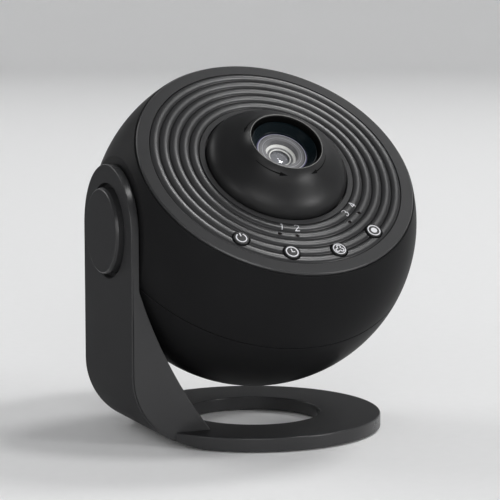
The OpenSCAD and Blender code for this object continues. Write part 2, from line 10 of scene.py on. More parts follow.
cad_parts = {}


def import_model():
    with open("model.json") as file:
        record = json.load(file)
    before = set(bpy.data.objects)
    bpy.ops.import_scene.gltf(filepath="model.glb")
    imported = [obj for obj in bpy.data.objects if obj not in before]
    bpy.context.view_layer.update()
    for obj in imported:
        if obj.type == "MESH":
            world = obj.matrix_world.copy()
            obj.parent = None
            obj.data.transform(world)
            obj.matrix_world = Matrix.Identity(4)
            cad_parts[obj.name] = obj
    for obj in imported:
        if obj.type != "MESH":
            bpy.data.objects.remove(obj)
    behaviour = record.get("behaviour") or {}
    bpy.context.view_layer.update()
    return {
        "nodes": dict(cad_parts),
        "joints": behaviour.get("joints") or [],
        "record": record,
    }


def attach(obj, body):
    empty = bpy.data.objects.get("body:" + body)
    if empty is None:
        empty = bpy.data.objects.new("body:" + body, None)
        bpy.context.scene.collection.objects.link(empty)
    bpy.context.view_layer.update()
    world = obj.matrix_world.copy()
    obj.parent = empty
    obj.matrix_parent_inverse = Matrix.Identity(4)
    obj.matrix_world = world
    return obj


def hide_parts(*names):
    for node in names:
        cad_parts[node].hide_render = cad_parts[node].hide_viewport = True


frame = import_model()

# A black home star projector: a ball with a slanted ridged face, on one flat arm that grows
# out of a ring base. Lengths below are millimetres unless a name ends in _m.
# "Head" coordinates have their origin at the ball's centre, z along the optical axis, x to the
# right and y up the face. "Side" coordinates share the origin, with z out through the arm.

MM = 0.001
JOINTS = {joint["name"]: joint for joint in frame["joints"]}
PIVOT = np.array(JOINTS["head_tilt"]["pos_m"]) / MM
OPTICAL = np.array(JOINTS["focus_turn"]["axis"])
BALL_R = 65.0


# ------------------------------------------------------------------ places
def head(points):
    """World place of head coordinates: pivot + x·X + y·(Z × X) + z·Z, with Z the optical axis."""
    across = np.array([1.0, 0.0, 0.0])
    up = np.cross(OPTICAL, across)
    basis = np.stack([across, up, OPTICAL])
    return np.asarray(points) @ basis + PIVOT


def side(points):
    """World place of side coordinates: pivot + x·(0, 0, 1) + y·(0, 1, 0) + z·(-1, 0, 0)."""
    basis = np.array([[0.0, 0.0, 1.0], [0.0, 1.0, 0.0], [-1.0, 0.0, 0.0]])
    return np.asarray(points) @ basis + PIVOT



def world(points):
    """World coordinates as they are."""
    return np.asarray(points, float)


# ------------------------------------------------------------------ outlines
def rounded(corners, steps=5):
    """Open outline through corners (x, y, r). Where r > 0 the corner is cut back by r·tan(a/2) on
    both sides, with a the turning angle, and an arc of radius r joins the cuts."""
    points = []
    for i, (x, y, r) in enumerate(corners):
        if r <= 0 or i in (0, len(corners) - 1):
            points.append([x, y])
            continue
        here = np.array([x, y])
        back = np.array(corners[i - 1][:2]) - here
        ahead = np.array(corners[i + 1][:2]) - here
        back, ahead = back / np.linalg.norm(back), ahead / np.linalg.norm(ahead)
        half = math.acos(np.clip(back @ ahead, -1, 1)) / 2
        middle = back + ahead
        centre = here + middle / np.linalg.norm(middle) * r / math.sin(half)
        start, stop = here + back * r / math.tan(half), here + ahead * r / math.tan(half)
        a0 = math.atan2(*(start - centre)[::-1])
        turn = math.atan2(*(stop - centre)[::-1]) - a0
        turn = (turn + math.pi) % (2 * math.pi) - math.pi
        angles = a0 + turn * np.linspace(0, 1, steps + 1)
        points.extend(centre + r * np.stack([np.cos(angles), np.sin(angles)], 1))
    return np.array(points)


def arc(cx, cy, r, a0, a1, steps):
    """Points of a circle about (cx, cy) from angle a0 to a1, in degrees."""
    angles = np.radians(np.linspace(a0, a1, steps + 1))
    return np.stack([cx + r * np.cos(angles), cy + r * np.sin(angles)], 1)


def dense(points, step):
    """The same open outline with its straight stretches cut into pieces no longer than step."""
    points = np.asarray(points, float)
    length = np.linalg.norm(np.diff(points, axis=0), axis=1)
    counts = np.maximum(np.ceil(length / step).astype(int), 1)
    stretches = [
        a + (b - a) * np.linspace(0, 1, n, endpoint=False)[:, None]
        for a, b, n in zip(points[:-1], points[1:], counts)
    ]
    return np.concatenate(stretches + [points[-1:]])


# ------------------------------------------------------------------ surfaces
def sheet_faces(rows, cols, start=0, wrap=False):
    """Quads between neighbouring rows and columns of a grid of points."""
    i, j = np.meshgrid(np.arange(rows - 1), np.arange(cols if wrap else cols - 1), indexing="ij")
    here, right = i * cols + j, i * cols + (j + 1) % cols
    quads = np.stack([here, right, right + cols, here + cols], -1)
    return quads.reshape(-1, 4) + start


def spin(profile, turns=192, sweep=(0, 360)):
    """Surface of revolution (r·cos t, r·sin t, h) of a profile of (r, h) points about z."""
    full = abs(sweep[1] - sweep[0]) >= 360
    angles = np.radians(np.linspace(sweep[0], sweep[1], turns, endpoint=not full))
    r, h = np.asarray(profile, float).T
    points = np.stack([
        r[:, None] * np.cos(angles), r[:, None] * np.sin(angles),
        np.broadcast_to(h[:, None], (len(h), turns)),
    ], -1)
    return points.reshape(-1, 3), sheet_faces(len(r), turns, wrap=full)


def grid(points, wrap=False):
    """Surface through an array of points (rows, columns, 3)."""
    rows, cols = points.shape[:2]
    return points.reshape(-1, 3), sheet_faces(rows, cols, wrap=wrap)


def slab(points, depth):
    """Thin closed plate: a grid of points (rows, columns, 3) above, the same grid moved by the
    vector depth below, and walls round the four edges."""
    rows, cols = points.shape[:2]
    top = points.reshape(-1, 3)
    below = top + depth
    faces = sheet_faces(rows, cols)
    ring = np.concatenate([
        np.arange(cols), np.arange(1, rows) * cols + cols - 1,
        (rows - 1) * cols + np.arange(cols - 2, -1, -1), np.arange(rows - 2, 0, -1) * cols,
    ])
    ahead = np.roll(ring, -1)
    size = rows * cols
    walls = np.stack([ring, ahead, ahead + size, ring + size], 1)
    return np.concatenate([top, below]), np.concatenate([faces, faces[:, ::-1] + size, walls])


def flat_region(loops, step=None):
    """Flat triangulated region (x, y, 0) inside the first closed loop and outside the others."""
    points = [Vector(p) for loop in loops for p in loop]
    edges, start = [], 0
    for loop in loops:
        n = len(loop)
        edges += [(start + i, start + (i + 1) % n) for i in range(n)]
        start += n
    verts, _, tris, *_ = delaunay_2d_cdt(points, edges, [], 1, 1e-6)
    verts = np.array([(v.x, v.y) for v in verts])
    tris = np.array(tris)
    middle = verts[tris].mean(1)
    keep = np.ones(len(tris), bool)
    for k, loop in enumerate(loops):
        keep &= inside(middle, np.asarray(loop)) == (k == 0)
    return np.column_stack([verts, np.zeros(len(verts))]), tris[keep]


def inside(points, loop):
    """Whether each point lies in a closed loop, by the parity of the edges left of it."""
    x, y = points[:, 0][:, None], points[:, 1][:, None]
    x0, y0 = loop.T
    x1, y1 = np.roll(loop, -1, 0).T
    crosses = (y0 > y) != (y1 > y)
    height = np.where(y1 == y0, 1e-12, y1 - y0)
    return (crosses & (x < x0 + (y - y0) / height * (x1 - x0))).sum(1) % 2 == 1


# ------------------------------------------------------------------ pieces
def piece(name, parts, place, weld=1e-3, sharp=32, outward=True):
    """One mesh object of several surfaces in local millimetres. Points closer than weld become
    one, faces are turned outwards, and edges that bend more than sharp degrees stay crisp."""
    points, corners, sizes, start = [], [], [], 0
    for vertices, faces in parts:
        points.append(np.asarray(vertices, float))
        for block in faces if isinstance(faces, list) else [faces]:
            block = np.asarray(block)
            corners.append(block.ravel() + start)
            sizes.append(np.full(len(block), block.shape[1]))
        start += len(vertices)
    sizes = np.concatenate(sizes)
    mesh = bpy.data.meshes.new(name)
    mesh.vertices.add(start)
    mesh.vertices.foreach_set("co", (place(np.concatenate(points)) * MM).astype(np.float32).ravel())
    mesh.loops.add(int(sizes.sum()))
    mesh.loops.foreach_set("vertex_index", np.concatenate(corners).astype(np.int32))
    mesh.polygons.add(len(sizes))
    mesh.polygons.foreach_set("loop_start", (np.cumsum(sizes) - sizes).astype(np.int32))
    mesh.update(calc_edges=True)
    mesh.validate()
    obj = bpy.data.objects.new(name, mesh)
    bpy.context.scene.collection.objects.link(obj)
    join_seams(obj, weld * MM, outward)
    crisp(obj, sharp)
    return obj


def join_seams(obj, weld_m, outward=True):
    """Merges doubles, drops faces that collapsed, and turns the faces of each shell outwards."""
    work = bmesh.new()
    work.from_mesh(obj.data)
    bmesh.ops.remove_doubles(work, verts=work.verts, dist=weld_m)
    bmesh.ops.dissolve_degenerate(work, edges=work.edges, dist=weld_m / 10)
    if outward:
        bmesh.ops.recalc_face_normals(work, faces=work.faces)
    work.to_mesh(obj.data)
    work.free()


def crisp(obj, degrees):
    """Smooth shading, with edges that bend more than the angle marked sharp."""
    work = bmesh.new()
    work.from_mesh(obj.data)
    for face in work.faces:
        face.smooth = True
    limit = math.radians(degrees)
    for edge in work.edges:
        edge.smooth = len(edge.link_faces) == 2 and edge.calc_face_angle(0) < limit
    work.to_mesh(obj.data)
    work.free()


def settle(obj):
    """Applies the object's modifiers to its mesh."""
    result = bpy.data.meshes.new_from_object(
        obj.evaluated_get(bpy.context.evaluated_depsgraph_get()))
    obj.modifiers.clear()
    old, obj.data = obj.data, result
    name = old.name
    bpy.data.meshes.remove(old)
    result.name = name


def carve(obj, steps, sharp=32):
    """Runs boolean steps (operation, other object) on obj and removes the others."""
    for operation, other in steps:
        modifier = obj.modifiers.new("carve", "BOOLEAN")
        modifier.operation = operation
        modifier.solver = "EXACT"
        modifier.object = other
    settle(obj)
    for _, other in steps:
        mesh = other.data
        bpy.data.objects.remove(other)
        bpy.data.meshes.remove(mesh)
    join_seams(obj, 2e-6)
    crisp(obj, sharp)
    return obj


def cut(obj, cutters, sharp=32):
    """Takes the cutters' volumes out of obj."""
    return carve(obj, [("DIFFERENCE", cutter) for cutter in cutters], sharp)


def round_edges(obj, width_mm, chosen, segments=3, sharp=32):
    """Rounds the crisp edges whose middle (x, y, z) in millimetres passes the test chosen, after
    flat stretches are made single faces, since short leftover edges would hold the round back."""
    work = bmesh.new()
    work.from_mesh(obj.data)
    bmesh.ops.dissolve_limit(
        work, angle_limit=math.radians(0.05), verts=work.verts, edges=work.edges)
    weight = work.edges.layers.float.new("bevel_weight_edge")
    for edge in work.edges:
        middle = (edge.verts[0].co + edge.verts[1].co) / (2 * MM)
        edge[weight] = float(not edge.smooth and chosen(middle))
    work.to_mesh(obj.data)
    work.free()
    bevel = obj.modifiers.new("round_edges", "BEVEL")
    bevel.limit_method = "WEIGHT"
    bevel.width = width_mm * MM
    bevel.segments = segments
    bevel.use_clamp_overlap = False
    settle(obj)
    crisp(obj, sharp)


def even_shading(obj):
    """Lets large flat faces keep their own direction beside small rounded edges."""
    modifier = obj.modifiers.new("even_shading", "WEIGHTED_NORMAL")
    modifier.keep_sharp = True
    settle(obj)


def stand_in(obj, body, slot, *nodes, finish=None):
    """Puts a piece on its body, in place of the CAD nodes it stands for.
    Its finish is the slot's own, unless another one is named."""
    even_shading(obj)
    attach(obj, body)
    if nodes:
        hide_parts(*nodes)
    obj.data.materials.clear()
    obj.data.materials.append(FINISHES[finish or slot])
    return obj


# ------------------------------------------------------------------ shader maths
class Wire:
    """One output of a shader node, so that a pattern reads as plain arithmetic."""

    def __init__(self, shader, socket):
        self.shader = shader
        self.socket = socket

    def maths(self, operation, *values):
        return self.shader.node("ShaderNodeMath", {"operation": operation}, enumerate(values))

    def __add__(self, other):
        return self.maths("ADD", self, other)

    def __sub__(self, other):
        return self.maths("SUBTRACT", self, other)

    def __mul__(self, other):
        return self.maths("MULTIPLY", self, other)

    def __truediv__(self, other):
        return self.maths("DIVIDE", self, other)

    def __pow__(self, other):
        return self.maths("POWER", self, other)

    def __rsub__(self, other):
        return self.maths("SUBTRACT", other, self)

    def __lt__(self, other):
        return self.maths("LESS_THAN", self, other)

    def __gt__(self, other):
        return self.maths("GREATER_THAN", self, other)

    __radd__ = __add__
    __rmul__ = __mul__

    def root(self):
        return self.maths("SQRT", self)

    def wave(self):
        return self.maths("SINE", self)

    def __abs__(self):
        return self.maths("ABSOLUTE", self)

    def either(self, other):
        return self.maths("MAXIMUM", self, other)

    def near(self, value, width):
        """1 at the value, falling to 0 at the width on either side."""
        away = self.maths("ABSOLUTE", self - value) / width
        return self.maths("MAXIMUM", 1.0 - away, 0.0)

    def ramp(self, low, high):
        """0 below low, 1 above high, and a smooth rise between."""
        return self.shader.node(
            "ShaderNodeMapRange", {"interpolation_type": "SMOOTHSTEP"},
            {"Value": self, "From Min": low, "From Max": high})


class Shader:
    """A material's node tree around one Principled BSDF."""

    def __init__(self, name):
        self.material = bpy.data.materials.new(name)
        self.material.use_nodes = True
        self.tree = self.material.node_tree
        self.tree.nodes.clear()
        self.surface = self.tree.nodes.new("ShaderNodeBsdfPrincipled")
        output = self.tree.nodes.new("ShaderNodeOutputMaterial")
        self.tree.links.new(self.surface.outputs[0], output.inputs["Surface"])

    def node(self, kind, settings=None, values=(), out=0):
        """Adds a node: its settings first, then the values or links of its sockets."""
        node = self.tree.nodes.new(kind)
        for key, value in (settings or {}).items():
            setattr(node, key, value)
        pairs = values.items() if isinstance(values, dict) else values
        for key, value in pairs:
            self.feed(node.inputs[key], value)
        return Wire(self, node.outputs[out])

    def feed(self, socket, value):
        if isinstance(value, Wire):
            self.tree.links.new(value.socket, socket)
        else:
            socket.default_value = value

    def set(self, **values):
        """Sets the Principled BSDF's sockets by name, with _ for a space."""
        for key, value in values.items():
            self.feed(self.surface.inputs[key.replace("_", " ")], value)
        return self.material

    def place(self):
        return self.node("ShaderNodeTexCoord", out="Object")

    def millimetres(self):
        """The three object coordinates, in millimetres."""
        apart = self.node("ShaderNodeSeparateXYZ", values={"Vector": self.place()})
        outs = apart.socket.node.outputs
        return [Wire(self, outs[axis]) / MM for axis in "XYZ"]

    def noise(self, size_mm, detail=3.0, roughness=0.5, stretch=None):
        """Noise between 0 and 1 whose blotches are about size_mm across."""
        where = self.place()
        if stretch:
            where = self.node("ShaderNodeMapping", values={"Vector": where, "Scale": stretch})
        return self.node(
            "ShaderNodeTexNoise",
            values={"Vector": where, "Scale": 1 / (size_mm * MM), "Detail": detail,
                    "Roughness": roughness})

    def blend(self, factor, first, second):
        """Colour that goes from first to second as the factor rises."""
        return self.node(
            "ShaderNodeMix", {"data_type": "RGBA"},
            {"Factor": factor, 6: tuple(first) + (1,), 7: tuple(second) + (1,)}, out=2)

    def over(self, below, share, colour):
        """A colour laid over another, as far as share says."""
        return self.node(
            "ShaderNodeMix", {"data_type": "RGBA"},
            {"Factor": share, 6: below, 7: tuple(colour) + (1,)}, out=2)

    def bump(self, height, depth_mm, strength=1.0):
        return self.node(
            "ShaderNodeBump",
            values={"Height": height, "Distance": depth_mm * MM, "Strength": strength})

    def from_axis(self):
        """Distance from the optical axis and height along it, both in millimetres."""
        centred = self.node(
            "ShaderNodeVectorMath", {"operation": "SUBTRACT"},
            {0: self.place(), 1: tuple(PIVOT * MM)})
        along = self.node(
            "ShaderNodeVectorMath", {"operation": "DOT_PRODUCT"},
            {0: centred, 1: tuple(OPTICAL)}, out="Value") / MM
        whole = self.node(
            "ShaderNodeVectorMath", {"operation": "LENGTH"}, {0: centred}, out="Value") / MM
        return (whole * whole - along * along).root(), along


# ------------------------------------------------------------------ finishes
def moulded(name, colour, roughness, grain_mm=0.22, grain_depth=0.006, gloss=0.5, coat=0.0):
    """Moulded plastic: a fine eroded grain, with a little unevenness of colour and shine."""
    shader = Shader(name)
    cloud = shader.noise(26, 2.0)
    grain = shader.noise(grain_mm, 2.0, 0.6)
    tone = shader.blend(cloud * 0.7 + grain * 0.3, np.array(colour) * 0.84, np.array(colour) * 1.16)
    return shader.set(
        Base_Color=tone, Roughness=roughness - 0.05 + cloud * 0.06 + grain * 0.05,
        Specular_IOR_Level=gloss, Coat_Weight=coat, Coat_Roughness=0.12,
        Normal=shader.bump(grain, grain_depth))


def stand_finish(name, colour):
    """Moulded grey of the stand. Its narrow edge faces, round the arm, the cap and both walls of
    the ring, come from polished steel in the mould, and have a gloss that the broad faces lack."""
    shader = Shader(name)
    cloud = shader.noise(26, 2.0)
    grain = shader.noise(0.22, 2.0, 0.6)
    tone = shader.blend(cloud * 0.7 + grain * 0.3, colour * 0.84, colour * 1.16)
    x, y, z = shader.millimetres()
    up = z - float(PIVOT[2])
    from_pivot = (y * y + up * up).root()
    from_centre = (x * x + y * y).root()
    arm = x < -30.0
    long_edges = arm * (abs(y) > 25.42) * (abs(y) < 25.8)
    round_top = arm * (up > 0.0) * (from_pivot > 25.42)
    cap_wall = (x < -60.5) * (from_pivot > 16.0) * (from_pivot < 17.1)
    ring_walls = (z < 5.9) * (x > -48.0) * ((from_centre > 50.7).either(from_centre < 27.3))
    polished = long_edges.either(round_top).either(cap_wall).either(ring_walls)
    strokes = shader.noise(0.5, 2.0, 0.6, (0.12, 1.0, 1.0))
    return shader.set(
        Base_Color=tone, Roughness=0.37 + cloud * 0.05 + grain * 0.04, Specular_IOR_Level=0.012,
        Coat_Weight=polished * (strokes * 0.5 + 0.45), Coat_Roughness=0.27,
        Normal=shader.bump(grain, 0.003))


def face_finish(name, colour):
    """Charcoal of the face plate: the ridges and the chamfer round the plate are glossier than the
    flat bands, with fine turned lines about the optical axis."""
    shader = Shader(name)
    radius, along = shader.from_axis()
    cloud = shader.noise(26, 2.0)
    grain = shader.noise(0.16, 2.0, 0.6)
    turned = (radius * 24.0).wave() * 0.5 + 0.5
    tone = shader.blend(cloud * 0.7 + grain * 0.3, colour * 0.84, colour * 1.16)
    ridged = radius.ramp(30.9, 31.3) * (1.0 - radius.ramp(50.7, 51.0))
    chamfer = radius > 55.55
    return shader.set(
        Base_Color=tone, Roughness=0.30 + cloud * 0.04 + grain * 0.05, Specular_IOR_Level=0.09,
        Coat_Weight=ridged * (turned * 0.14 + 0.44) + chamfer * 0.8, Coat_Roughness=0.27,
        Normal=shader.bump(grain, 0.008))


def bell_finish(name, colour):
    """Satin black of the focus ring. Inside the mouth, nearer the axis than the rim, its colour is a painted
    shade, a deeper black for the shade in the mouth, and it is rougher."""
    shader = Shader(name)
    radius, along = shader.from_axis()
    inside_mouth = (radius < 14.33) * (along > 36.5)
    cloud = shader.noise(22, 2.0)
    grain = shader.noise(0.16, 2.0, 0.6)
    outside = shader.blend(cloud * 0.7 + grain * 0.3, colour * 0.85, colour * 1.2)
    # painted shade: inside the mouth the colour drops to near black, for the shade there
    tone = shader.over(outside, inside_mouth, (0.0012, 0.0012, 0.0014))
    return shader.set(
        Base_Color=tone, Roughness=0.34 + cloud * 0.04 + grain * 0.04 + inside_mouth * 0.35,
        Specular_IOR_Level=0.25, Normal=shader.bump(grain, 0.003))


def turned_gloss(name, colour):
    """Gloss black tube: fine rings about the optical axis, and a faint green-blue tint in its colour that is a
    painted sheen, a painted reflection.
    """
    shader = Shader(name)
    radius, along = shader.from_axis()
    rings = (radius * 21.0 + along * 9.0).wave() * 0.5 + 0.5
    smear = shader.noise(9.0, 2.0)
    # painted reflection: the brighter end of the ring pattern is tinted green-blue, a sheen painted into the
    # colour
    tone = shader.blend(rings * 0.6 + smear * 0.4, colour * 0.3, colour * np.array([0.5, 0.9, 1.05]))
    return shader.set(
        Base_Color=tone, Roughness=0.32 + smear * 0.04 + rings * 0.05,
        Specular_IOR_Level=0.09, Coat_Weight=0.04, Coat_Roughness=0.25,
        Normal=shader.bump(rings, 0.003))


def clear_moulding(name, colour):
    """Clear resin of the lens flange, seen grey over the dark tube: a bright lip that is a painted highlight,
    with a dark line inside it that is painted shade, one fine bright line halfway that is a painted highlight,
    mould lines about the optical axis, and a violet fringe at the very edge, painted in for the light that the
    clear edge splits."""
    shader = Shader(name)
    radius, along = shader.from_axis()
    lines = (radius * 9.0).wave() * 0.5 + 0.5
    haze = shader.noise(1.6, 3.0)
    tone = shader.blend(haze * 0.5 + lines * 0.5, colour * 0.80, colour * 1.22)
    # painted shade: dark line inside the lip
    tone = shader.over(tone, radius.near(9.22, 0.22), (0.045, 0.045, 0.055))
    # painted highlight: fine bright line halfway across the flange
    tone = shader.over(tone, radius.near(7.95, 0.16) * 0.6, (0.52, 0.52, 0.56))
    # painted highlight: bright lip at the flange's edge
    tone = shader.over(tone, radius.near(9.62, 0.24), (0.66, 0.66, 0.72))
    # painted light: violet fringe at the very edge, for the light the clear edge splits
    tone = shader.over(tone, radius.ramp(9.72, 9.95) * 0.8, (0.20, 0.17, 0.50))
    return shader.set(
        Base_Color=tone, Roughness=0.30 + haze * 0.10, Specular_IOR_Level=0.30,
        Coat_Weight=0.12, Coat_Roughness=0.10, Normal=shader.bump(lines, 0.005))


def polished_glass(name):
    """Coated lens glass: clear, with a cool bloom and almost no roughness."""
    shader = Shader(name)
    smear = shader.noise(4.0, 2.0)
    tone = shader.blend(smear, (0.58, 0.59, 0.63), (0.68, 0.69, 0.73))
    return shader.set(
        Base_Color=tone, Roughness=0.02 + smear * 0.03, IOR=1.5, Transmission_Weight=0.66,
        Coat_Weight=0.6, Coat_Roughness=0.02)


def rubber(name, colour):
    """Matt foot rubber with a coarse dusty grain."""
    shader = Shader(name)
    dust = shader.noise(1.2, 4.0, 0.7)
    tone = shader.blend(dust, np.array(colour) * 0.7, np.array(colour) * 1.8 + 0.006)
    return shader.set(Base_Color=tone, Roughness=0.74 + dust * 0.16,
                      Normal=shader.bump(dust, 0.03))


def metal(name, colour, roughness, brush_mm, cast=False):
    """Bare metal: long fine scratches when brushed, round pits when cast."""
    shader = Shader(name)
    stretch = None if cast else (1.0, 1.0, 0.06)
    marks = shader.noise(brush_mm, 3.0, 0.6, stretch)
    stain = shader.noise(9, 2.0)
    tone = shader.blend(marks * 0.5 + stain * 0.5, np.array(colour) * 0.82, np.array(colour) * 1.05)
    return shader.set(Base_Color=tone, Metallic=1.0, Roughness=roughness + marks * 0.12,
                      Normal=shader.bump(marks, 0.004))


def circuit(name, colour):
    """Solder mask over copper: right-angled tracks show as slightly raised, lighter lines."""
    shader = Shader(name)
    tracks = shader.node(
        "ShaderNodeTexBrick", {"offset": 0.5},
        {"Vector": shader.place(), "Scale": 260.0, "Mortar Size": 0.018, "Bias": 0.1}, out="Fac")
    haze = shader.noise(2.5, 3.0)
    tone = shader.blend(tracks * 0.8 + haze * 0.2, np.array(colour) * 0.75, np.array(colour) * 1.9)
    return shader.set(Base_Color=tone, Roughness=0.30 + haze * 0.15, Coat_Weight=0.3,
                      Normal=shader.bump(tracks, 0.03))


def lamp_resin(name, colour):
    """Phosphor seen through clear resin."""
    shader = Shader(name)
    grains = shader.noise(0.5, 4.0, 0.7)
    tone = shader.blend(grains, np.array(colour) * 0.8, (1.0, 0.92, 0.5))
    return shader.set(Base_Color=tone, Roughness=0.16 + grains * 0.1, Coat_Weight=0.7,
                      Coat_Roughness=0.05)


def star_film(name, colour):
    """Dark film with scattered clear stars: the cores of small random cells."""
    shader = Shader(name)
    cells = shader.node(
        "ShaderNodeTexVoronoi", {}, {"Vector": shader.place(), "Scale": 1500.0}, out="Distance")
    stars = (cells < 0.13) * shader.noise(2.0, 2.0).ramp(0.42, 0.6)
    tone = shader.blend(stars, colour, (0.75, 0.80, 0.95))
    return shader.set(Base_Color=tone, Roughness=0.12 + stars * 0.2, Coat_Weight=0.8,
                      Coat_Roughness=0.04)


def grey(level, blue=1.04):
    """Neutral colour with a touch more blue."""
    return np.array([level, level, level * blue])


def make_finishes():
    """One finish for each material slot of the record."""
    return {
        "shell_black": moulded("shell_black", grey(0.0126), 0.40, 0.20, 0.004, 0.024),
        "face_charcoal": face_finish("face_charcoal", grey(0.0250)),
        "dome_black": bell_finish("dome_black", grey(0.010)),
        # the green-blue of this near-black colour is a painted sheen
        "barrel_gloss": turned_gloss("barrel_gloss", np.array([0.006, 0.010, 0.012])),
        "stand_grey": stand_finish("stand_grey", grey(0.027)),
        "button_grey": moulded("button_grey", grey(0.018), 0.34, 0.14, 0.003, 0.20),
        "inner_black": moulded("inner_black", grey(0.016), 0.55, 0.35, 0.010, 0.35),
        "foot_rubber": rubber("foot_rubber", grey(0.012)),
        "bright_steel": metal("bright_steel", grey(0.52), 0.24, 0.4),
        "cast_aluminium": metal("cast_aluminium", grey(0.70), 0.40, 0.3, cast=True),
        "lamp_white": moulded("lamp_white", grey(0.80, 0.97), 0.40, 0.5, 0.003, 0.5),
        "lamp_yellow": lamp_resin("lamp_yellow", np.array([0.85, 0.72, 0.26])),
        "board_green": circuit("board_green", np.array([0.03, 0.17, 0.07])),
        "pipe_red": moulded("pipe_red", np.array([0.006, 0.002, 0.002]), 0.45, 0.5, 0.001, 0.1),
        # lens_clear carries painted highlights, painted shade and a painted violet fringe
        "lens_clear": clear_moulding("lens_clear", grey(0.145, 1.05)),
        "lens_glass": polished_glass("lens_glass"),
        "film_dark": star_film("film_dark", np.array([0.020, 0.022, 0.030])),
        "gear_white": moulded("gear_white", grey(0.76, 0.97), 0.38, 0.6, 0.004, 0.5),
        "print_pale": moulded("print_pale", grey(0.68), 0.50, 0.3, 0.002, 0.2),
        "print_black": moulded("print_black", grey(0.0015), 0.60, 0.3, 0.002, 0.05),
        # rim_pale: pale grey of the mouth rim's bead, a painted highlight
        "rim_pale": moulded("rim_pale", grey(0.16, 0.96), 0.35, 0.3, 0.002, 0.4),
    }


FINISHES = make_finishes()


# ------------------------------------------------------------------ the ball
SHELL_WALL = 2.5
SEAM = 0.15                # half the gap between the two half shells
RIM_H = 31.9               # top of the upper shell, round the face plate
PLATE_H = 33.0             # flat of the face plate
PLATE_R = 56.0
PLATE_UNDER = 30.4
LEDGE_R = 51.0
FLAT_X = 58.5              # flat on the ball beside the arm
POCKET_R = 21.5
POCKET_X = 54.8


def ball_at(h, r=None):
    """Distance from the axis of a sphere of radius r at height h."""
    return math.sqrt((r or BALL_R) ** 2 - h * h)


def sphere_arc(r, h0, h1, steps):
    """Profile along a sphere from height h0 to h1, evenly spaced in latitude."""
    a = np.linspace(math.asin(h0 / r), math.asin(h1 / r), steps + 1)
    return np.stack([r * np.cos(a), r * np.sin(a)], 1)


def disc_cutter(profile, place, turns=128):
    """A closed turned body for boolean steps. Its profile starts and ends on the axis, and each
    flat end is one single face, so that no spokes run into the edges that it cuts."""
    points, walls = spin(np.asarray(profile, float)[1:-1], turns)
    ring = np.arange(turns)
    ends = np.stack([ring[::-1], ring + len(points) - turns])
    return piece("cutter", [(points, [walls, ends])], place)


def side_cutters():
    """The flat beside the arm with its softened edge, and the pocket that the arm's boss fills."""
    edge = ball_at(FLAT_X)
    flat = [[0, FLAT_X], [edge - 0.6, FLAT_X], [edge + 0.5, FLAT_X - 0.22], [edge + 6, FLAT_X + 1.2],
            [edge + 6, 80], [0, 80]]
    pocket = [[0, POCKET_X], [POCKET_R, POCKET_X], [POCKET_R, FLAT_X - 0.25],
              [POCKET_R + 0.35, FLAT_X + 0.1], [POCKET_R + 0.35, 81], [0, 81]]
    return [disc_cutter(flat, side), disc_cutter(pocket, side)]


def upper_shell():
    """Sphere from the seam to the face's rim, both edges rounded, with its wall and the ledge
    under the face plate; and the step of the seam, a dark shadow line."""
    bore = PLATE_R + 0.15
    outer = sphere_arc(BALL_R, SEAM + 0.30, RIM_H - 0.16, 84)
    rim = [[ball_at(RIM_H) - 0.04, RIM_H - 0.04], [ball_at(RIM_H) - 0.14, RIM_H], [bore + 0.1, RIM_H],
           [bore, RIM_H - 0.1], [bore, PLATE_UNDER], [LEDGE_R, PLATE_UNDER], [LEDGE_R, PLATE_UNDER - 2.4],
           [ball_at(PLATE_UNDER - 2.4, BALL_R - SHELL_WALL), PLATE_UNDER - 2.4]]
    inner = sphere_arc(BALL_R - SHELL_WALL, PLATE_UNDER - 2.5, SEAM, 40)
    foot = [[BALL_R - 0.26, SEAM], [BALL_R - 0.10, SEAM + 0.06], [BALL_R - 0.02, SEAM + 0.17]]
    profile = np.concatenate([outer, rim, inner, foot, outer[:1]])
    shell = piece("upper_ball_shell", [spin(profile, 288)], head)
    cut(shell, side_cutters())
    return stand_in(shell, "head", "shell_black", "upper_shell")


SCREW_WELLS = [(35.4, 35.4), (-35.4, 35.4), (15.5, -41.0), (-15.5, -41.0)]
SOCKET_DROP = 30.0
SOCKET_SEAT = 63.2


def socket_place(points):
    """Head place of the power socket's own coordinates, with z out of the back of the ball."""
    drop = math.radians(SOCKET_DROP)
    out = [0.0, math.cos(drop), -math.sin(drop)]
    basis = np.stack([[1.0, 0.0, 0.0], np.cross(out, [1.0, 0.0, 0.0]), out])
    return head(np.asarray(points) @ basis)


def lower_shell():
    """Sphere from the seam to the bottom pole, with rounded seam edge, the tongue behind the seam, four screw
    wells, and the seat of the power socket. The tubes in the wells are a piece of their own."""
    outer = sphere_arc(BALL_R, -BALL_R, -SEAM - 0.30, 150)
    outer[0, 0] = 0
    lip = [[BALL_R - 0.02, -SEAM - 0.17], [BALL_R - 0.10, -SEAM - 0.06], [BALL_R - 0.26, -SEAM],
           [BALL_R - SHELL_WALL - 0.1, -SEAM], [BALL_R - SHELL_WALL - 0.1, 2.0],
           [BALL_R - SHELL_WALL - 1.9, 2.0], [BALL_R - SHELL_WALL - 1.9, -5.0]]
    r_in = BALL_R - SHELL_WALL
    inner = sphere_arc(r_in, -6.0, -r_in, 60)
    inner[-1, 0] = 0
    shell = piece("lower_ball_shell", [spin(np.concatenate([outer, lip, inner]), 288)], head)
    cutters = side_cutters()
    for x, y in SCREW_WELLS:
        low = -math.sqrt(BALL_R ** 2 - x * x - y * y)
        profile = [[0, -80], [4.4, -80], [4.4, low - 2], [3.2, low + 0.2], [2.9, low + 1.2], [2.9, -20],
                   [0, -20]]
        cutters.append(disc_cutter(np.array(profile), lambda p, x=x, y=y: head(p + [x, y, 0]), 64))
    seat = [[0, 50], [4.0, 50], [4.0, SOCKET_SEAT], [6.2, SOCKET_SEAT], [6.2, 64.4], [7.4, 66.5], [0, 66.5]]
    cutters.append(disc_cutter(seat, socket_place, 96))
    cut(shell, cutters)
    return stand_in(shell, "head", "shell_black", "lower_shell")


